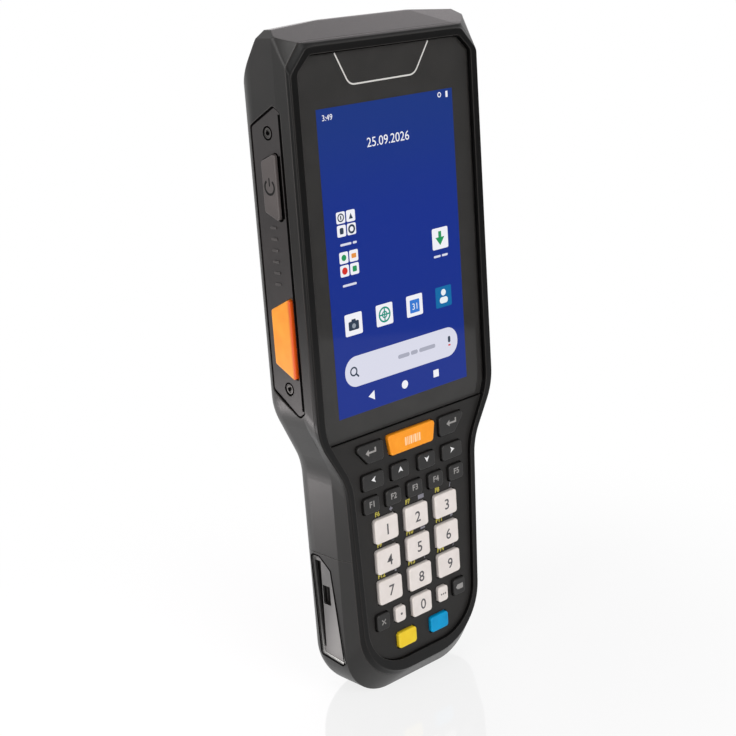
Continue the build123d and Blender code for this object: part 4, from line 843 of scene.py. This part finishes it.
silver_ink = moulded("silver_ink", (214, 212, 208), (204, 202, 199), (222, 220, 216), (0.3, 0.4),
                     grain=(9000.0, 0.05), radius=0.00005)


def stroke(form, points, wide, front, thick, bend):
    """A line of even width that faces forward, with its corners rounded by bend, in millimetres."""
    data = bpy.data.curves.new("stroke", "CURVE")
    data.dimensions = "3D"
    data.bevel_depth = wide / 2
    data.bevel_resolution = 1
    data.use_fill_caps = True
    path = [Vector((x, z)) for x, z in points]
    route = [path[0]]
    for before, corner, after in zip(path, path[1:], path[2:]):
        start = corner + (before - corner).normalized() * bend
        end = corner + (after - corner).normalized() * bend
        for step in range(9):
            share = step / 8
            route.append(start.lerp(corner, share).lerp(corner.lerp(end, share), share))
    route.append(path[-1])
    spline = data.splines.new("POLY")
    spline.points.add(len(route) - 1)
    for point, spot in zip(spline.points, route):
        point.co = (spot.x, 0, spot.y, 1)
    maker = bpy.data.objects.new("stroke", data)
    flat = bpy.data.meshes.new_from_object(maker)
    bpy.data.objects.remove(maker)
    bpy.data.curves.remove(data)
    old = set(form.verts)
    form.from_mesh(flat)
    bpy.data.meshes.remove(flat)
    verts = [v for v in form.verts if v not in old]
    bmesh.ops.scale(form, vec=(MM, thick / wide * MM, MM), verts=verts)
    bmesh.ops.translate(form, vec=(0, (front + thick / 2) * MM, 0), verts=verts)


field_line = bmesh.new()
stroke(field_line, ((-19.4, PANE_TOP - 0.5), (-14.4, 196.5), (12.3, 196.7), (18.7, PANE_TOP - 0.5)),
       0.55, print_front - 0.08, 0.06, 2.2)
finished("silver_line", field_line, silver_ink, "housing")

# ---- Display picture -----------------------------------------------------------------------------
# The lit picture of the display: a plain blue ground with app tiles, a search field and three
# navigation marks. It is bonded to the back of the glass, layer over layer.
display_pixels = bpy.data.node_groups.new("display_pixels", "ShaderNodeTree")
for socket, way in (("Colour", "INPUT"), ("Upper Colour", "INPUT"), ("Colour", "OUTPUT")):
    display_pixels.interface.new_socket(name=socket, in_out=way, socket_type="NodeSocketColor")
tree = display_pixels
group_in = tree.nodes.new("NodeGroupInput")
group_out = tree.nodes.new("NodeGroupOutput")
place = tree.nodes.new("ShaderNodeTexCoord")
axes = tree.nodes.new("ShaderNodeSeparateXYZ")
rise = ramp(tree, 0.150, 0.192, smooth=True)
fade = mixed(tree)
columns = tree.nodes.new("ShaderNodeTexWave")
columns.bands_direction = "X"
lines = tree.nodes.new("ShaderNodeTexWave")
lines.bands_direction = "Z"
for wave in (columns, lines):
    wave.inputs["Scale"].default_value = 2200.0
grid = math_node(tree, "MULTIPLY")
dim = ramp(tree, low=0.93, high=1.03)
lit = mixed(tree)
lit.blend_type = "MULTIPLY"
lit.inputs["Factor"].default_value = 1.0
wire(tree,
     (place.outputs["Object"], axes.inputs["Vector"]),
     (place.outputs["Object"], columns.inputs["Vector"]),
     (place.outputs["Object"], lines.inputs["Vector"]),
     (axes.outputs["Z"], rise.inputs["Value"]),
     (rise.outputs["Result"], fade.inputs["Factor"]),
     (group_in.outputs["Colour"], fade.inputs["A"]),
     (group_in.outputs["Upper Colour"], fade.inputs["B"]),
     (columns.outputs["Fac"], grid.inputs[0]),
     (lines.outputs["Fac"], grid.inputs[1]),
     (grid.outputs[0], dim.inputs["Value"]),
     (fade.outputs["Result"], lit.inputs["A"]),
     (dim.outputs["Result"], lit.inputs["B"]),
     (lit.outputs["Result"], group_out.inputs["Colour"]))


def glowing(name, colour, upper=None):
    """A lit part of the display, with its fine pixel grid."""
    material = bpy.data.materials.new(name)
    material.use_nodes = True
    tree = material.node_tree
    shader = tree.nodes["Principled BSDF"]
    pixels = tree.nodes.new("ShaderNodeGroup")
    pixels.node_tree = display_pixels
    pixels.inputs["Colour"].default_value = paint(*colour)
    pixels.inputs["Upper Colour"].default_value = paint(*(upper or colour))
    wire(tree, (pixels.outputs["Colour"], shader.inputs["Emission Color"]))
    shader.inputs["Emission Strength"].default_value = 1.0
    shader.inputs["Base Color"].default_value = (0.004, 0.004, 0.005, 1)
    shader.inputs["Roughness"].default_value = 0.6
    shader.inputs["Specular IOR Level"].default_value = 0.0
    shader.inputs["Coat Weight"].default_value = 0.2
    shader.inputs["Coat Roughness"].default_value = 0.05
    return material


SCREEN_LOW, SCREEN_HIGH = 97.25, 190.85
SCREEN_WIDE = 56.1
LAYER = 0.04                      # from one printed layer of the picture to the next
screen_layer = print_front - 0.05
icon_layer = screen_layer - LAYER
mark_layer = icon_layer - LAYER
top_layer = mark_layer - LAYER
ground = bmesh.new()
tile(ground, 0, (SCREEN_LOW + SCREEN_HIGH) / 2, SCREEN_WIDE, SCREEN_HIGH - SCREEN_LOW, screen_layer,
     INK)
finished("screen_ground", ground, glowing("screen_blue", (26, 50, 141), (30, 56, 130)), "housing")

pale = bmesh.new()
white = bmesh.new()
slate = bmesh.new()
for x, z in ((-19.5, 125.6), (6.4, 125.9), (-6.6, 125.8), (19.3, 144.9)):
    tile(white, x, z, 7.0, 6.8, icon_layer, INK, radius=0.5)
for x, z in ((-19.6, 156.5), (-19.5, 144.4)):
    for column in (-2.0, 2.0):
        for row in (-2.0, 2.0):
            tile(white, x + column, z + row, 3.5, 3.5, icon_layer, INK, radius=0.5)
tile(pale, 0.1, 110.8, 49.0, 9.6, icon_layer, INK, radius=4.7, segments=12)
for x, z, wide in ((-20.3, 150.3, 4.4), (-16.7, 150.3, 1.6), (-19.9, 137.9, 5.6),
                   (17.6, 139.3, 3.0), (21.0, 139.3, 2.6)):
    tile(pale, x, z, wide, 0.7, icon_layer, INK, radius=0.3)
# status line: the time, a place mark and a full battery
words(white, "3:49", -23.9, 188.2, 1.7, icon_layer, INK)
hoop(white, 22.4, 189.3, 0.8, 0.5, icon_layer, INK, segments=20)
tile(white, 25.6, 189.2, 0.9, 1.9, icon_layer, INK, radius=0.15)
words(white, "25.09.2026", -0.3, 178.9, 2.8, icon_layer, INK)
# navigation marks
cut_out(white, ((-15.6, 101.6), (-13.0, 103.1), (-13.0, 100.1)), icon_layer, INK)
disc(white, 0.1, 101.6, 1.35, icon_layer, INK)
tile(white, 14.1, 101.8, 2.4, 2.4, icon_layer, INK, radius=0.15)
# camera sign
tile(slate, -19.5, 125.2, 4.2, 2.8, mark_layer, INK, radius=0.4)
tile(slate, -19.5, 126.8, 1.7, 0.8, mark_layer, INK, radius=0.2)
# signs in the first folder
hoop(slate, -21.6, 158.5, 1.3, 0.9, mark_layer, INK, segments=24)
tile(slate, -21.6, 158.5, 0.5, 1.2, mark_layer, INK)
cut_out(slate, ((-18.4, 157.6), (-16.8, 157.6), (-17.6, 159.3)), mark_layer, INK)
tile(slate, -21.6, 154.5, 1.5, 1.9, mark_layer, INK, radius=0.4)
hoop(slate, -17.6, 154.5, 1.4, 0.75, mark_layer, INK, segments=24)
# microphone
tile(slate, 20.8, 111.6, 1.1, 2.1, mark_layer, INK, radius=0.5)
finished("screen_white", white, glowing("screen_white", (246, 246, 252)), "housing")
finished("screen_pale", pale, glowing("screen_pale", (222, 223, 238)), "housing")
lens = bmesh.new()
disc(lens, -19.5, 125.1, 0.75, top_layer, INK)
finished("screen_lens", lens, glowing("screen_grey", (150, 160, 172)), "housing")
# magnifier
hoop(slate, -20.9, 111.0, 1.5, 1.0, mark_layer, INK, segments=28)
tile(slate, -19.5, 109.6, 0.55, 1.7, mark_layer, INK, radius=0.2, turn=-45)
finished("screen_slate", slate, glowing("screen_slate", (52, 66, 84)), "housing")
soft = bmesh.new()
for x, wide in ((0.4, 5.0), (5.0, 3.0), (10.8, 7.2)):
    tile(soft, x, 111.0, wide, 1.3, mark_layer, INK, radius=0.6)
finished("screen_hint", soft, glowing("screen_hint", (172, 174, 190)), "housing")
SIGNS = (
    # name, colour, then the shapes it holds
    ("screen_teal", (22, 110, 168), (("tile", 19.4, 126.0, 7.1, 6.7, 0.5),)),
    ("screen_green", (40, 150, 92), (("disc", -21.5, 146.4, 0.95), ("tile", 19.2, 145.9, 1.3, 2.6, 0.1),
                                     ("cut", ((17.2, 145.3), (19.2, 142.7), (21.2, 145.3))),
                                     ("tile", -17.5, 142.4, 1.7, 1.7, 0.3))),
    ("screen_red", (214, 52, 44), (("disc", -21.5, 142.4, 1.1), ("tile", 20.8, 109.7, 1.0, 0.5, 0.1))),
    ("screen_orange", (232, 150, 70), (("tile", -17.5, 146.4, 1.9, 1.4, 0.2),)),
    ("screen_sky", (58, 124, 214), (("tile", 6.4, 125.7, 4.2, 4.2, 0.3),)),
    ("screen_globe", (36, 148, 130), (("hoop", -6.6, 125.8, 2.5, 1.95),
                                      ("hoop", -6.6, 125.8, 1.15, 0.75),
                                      ("tile", -6.6, 125.8, 4.4, 0.45, 0.0),
                                      ("tile", -6.6, 125.8, 0.45, 4.4, 0.0))),
)
for name, colour, shapes in SIGNS:
    sign = bmesh.new()
    front = icon_layer if name == "screen_teal" else mark_layer
    for kind, *sizes in shapes:
        if kind == "tile":
            x, z, wide, high, radius = sizes
            tile(sign, x, z, wide, high, front, INK, radius=radius)
        elif kind == "disc":
            disc(sign, *sizes, front, INK, segments=24)
        elif kind == "hoop":
            hoop(sign, *sizes, front, INK, segments=32)
        else:
            cut_out(sign, sizes[0], front, INK)
    finished(name, sign, glowing(name, colour), "housing")
person = bmesh.new()
disc(person, 19.4, 127.4, 1.05, mark_layer, INK)
tile(person, 19.4, 124.9, 3.6, 2.0, mark_layer, INK, radius=0.95, segments=8)
words(person, "31", 6.4, 125.6, 2.0, top_layer, INK)
finished("screen_person", person, glowing("screen_ivory", (240, 246, 250)), "housing")

# ---- Keypad plate --------------------------------------------------------------------------------
# The plate under the glass is moulded in the case's dark grey. Second functions are printed on it
# between the keys as small figures and signs, in two colours.
plate_plastic = moulded("plate_plastic", (32, 30, 29), (28, 27, 26), (56, 54, 52), (0.42, 0.56),
                        grain=(3600.0, 0.22), radius=0.0002, specular=0.26)
dress(plate_plastic, "keypad_plate")
plate_ink_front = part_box("keypad_plate")[0].y / MM - 0.02


def ink(name, colour, shade, edge):
    """A matt printing ink."""
    return moulded(name, colour, shade, edge, (0.5, 0.6), radius=0.00005)


lime_ink = ink("lime_ink", (186, 174, 66), (174, 164, 60), (194, 182, 74))
grey_ink = ink("grey_ink", (132, 130, 140), (122, 121, 130), (142, 140, 150))
SECOND_SIGNS = "+-/*=#%()"
lime = bmesh.new()
grey = bmesh.new()
for number in range(1, 10):
    low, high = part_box(f"key_{number}")
    middle = (low.x + high.x) / 2 / MM
    above = high.z / MM
    words(lime, f"F{number + 5}", middle - 2.7, above + 1.1, 1.65, plate_ink_front, INK, bold=0.04)
    words(grey, SECOND_SIGNS[number - 1], middle + 3.2, above + 1.15, 1.4, plate_ink_front, INK,
          bold=0.04)
finished("plate_lime_figures", lime, lime_ink, "housing")
finished("plate_grey_signs", grey, grey_ink, "housing")

# ---- Keys ----------------------------------------------------------------------------------------
# Each key is a hard cap moulded in its own colour, with a satin top and softened edges. Its legend
# is printed on the cap and moves with it.
KEY_WHITE = ("key_0", "key_1", "key_2", "key_3", "key_4", "key_5", "key_6", "key_7", "key_8", "key_9",
             "key_small_left", "key_small_right")
KEY_BLACK = ("key_backspace", "key_down", "key_enter_left", "key_enter_right", "key_escape", "key_f1",
             "key_f2", "key_f3", "key_f4", "key_f5", "key_left", "key_right", "key_up")
KEY_FINISHES = (
    # name, colour, shade and edge colour, roughness, grain, radius of the edges, specular, keys
    ("key_cream", (228, 220, 216), (222, 214, 209), (238, 226, 206), (0.38, 0.48), 0.1, 0.0005, 0.5,
     KEY_WHITE),
    ("key_charcoal", (34, 33, 32), (30, 29, 29), (84, 81, 79), (0.36, 0.48), 0.16, 0.0004, 0.36,
     KEY_BLACK),
    ("key_amber", (249, 157, 34), (245, 148, 26), (255, 186, 80), (0.36, 0.46), 0.1, 0.0005, 0.25,
     ("key_scan",)),
    ("key_yellow", (240, 208, 44), (236, 200, 36), (246, 228, 110), (0.36, 0.46), 0.1, 0.0005, 0.25,
     ("key_yellow",)),
    ("key_blue", (0, 152, 206), (0, 142, 196), (60, 186, 226), (0.36, 0.46), 0.1, 0.0005, 0.15,
     ("key_blue",)),
)
for name, colour, shade, edge, rough, grain_depth, radius, specular, keys in KEY_FINISHES:
    key_cap = moulded(name, colour, shade, edge, rough, grain=(4200.0, grain_depth), blotch=260.0,
                      radius=radius, specular=specular)
    dress(key_cap, *keys)

digit_ink = ink("digit_ink", (80, 78, 81), (74, 72, 75), (84, 82, 85))
dim_ink = ink("dim_ink", (150, 147, 145), (140, 138, 136), (158, 155, 153))
white_ink = ink("white_ink", (232, 232, 232), (222, 222, 222), (238, 238, 238))
pale_ink = ink("pale_ink", (255, 214, 168), (252, 206, 156), (255, 220, 178))
LEGEND_PROUD, LEGEND_THICK = 0.02, 0.04
ARROW = ((1.0, 0), (-0.9, 1.05), (-0.38, 0), (-0.9, -1.05))
SCAN_BARS = (0.7, 0.35, 0.35, 0.7, 0.35, 0.9, 0.35, 0.7)
SCAN_GAP = 0.35
RETURN_SIGN = ((-2.3, 0.1), (-0.9, 1.2), (-0.9, 0.4), (1.6, 0.4), (1.6, 1.4), (2.2, 1.4), (2.2, -0.2),
               (-0.9, -0.2), (-0.9, -1.0))
for key in KEY_WHITE + KEY_BLACK + ("key_scan",):
    low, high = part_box(key)
    middle, level = (low.x + high.x) / 2 / MM, (low.z + high.z) / 2 / MM
    front = low.y / MM - LEGEND_PROUD
    mark = key.split("_", 1)[1]
    legend_ink, ink_slot = dim_ink, "key_black"
    legend = bmesh.new()
    if mark.isdigit():
        words(legend, mark, middle + 0.35, level - 0.1, 3.6, front, LEGEND_THICK, bold=0.01)
        legend_ink, ink_slot = digit_ink, "key_white"
    elif mark[0] == "f" and mark[1:].isdigit():
        words(legend, mark.upper(), middle, level + 0.4, 2.0, front, LEGEND_THICK, bold=0.02)
    elif mark in ("left", "right", "up", "down"):
        angle = {"right": 0, "up": 90, "left": 180, "down": 270}[mark]
        turned = Matrix.Rotation(math.radians(angle), 2)
        points = [turned @ Vector(point) for point in ARROW]
        cut_out(legend, [(middle + p.x, level + 0.5 + p.y) for p in points], front, LEGEND_THICK)
        legend_ink = white_ink
    elif mark.startswith("enter"):
        cut_out(legend, [(middle + x, level + 0.3 + z) for x, z in RETURN_SIGN], front, LEGEND_THICK)
    elif mark == "scan":
        x = middle - 3.2
        for wide in SCAN_BARS:
            tile(legend, x + wide / 2, level - 0.2, wide, 2.7, front, LEGEND_THICK)
            x += wide + SCAN_GAP
        legend_ink, ink_slot = pale_ink, "key_scan_orange"
    elif mark == "small_left":
        disc(legend, middle + 0.2, level, 0.45, front, LEGEND_THICK, segments=16)
        legend_ink, ink_slot = digit_ink, "key_white"
    elif mark == "small_right":
        for dot in (-0.9, 0, 0.9):
            disc(legend, middle + dot, level, 0.3, front, LEGEND_THICK, segments=16)
        legend_ink, ink_slot = digit_ink, "key_white"
    elif mark == "escape":
        for angle in (45, -45):
            tile(legend, middle, level, 0.35, 2.3, front, LEGEND_THICK, turn=angle)
    else:
        cut_out(legend, ((middle - 1.8, level), (middle - 0.9, level + 0.9), (middle + 1.6, level + 0.9),
                         (middle + 1.6, level - 0.9), (middle - 0.9, level - 0.9)),
                front, LEGEND_THICK)
    finished(f"{key}_legend", legend, legend_ink, key)
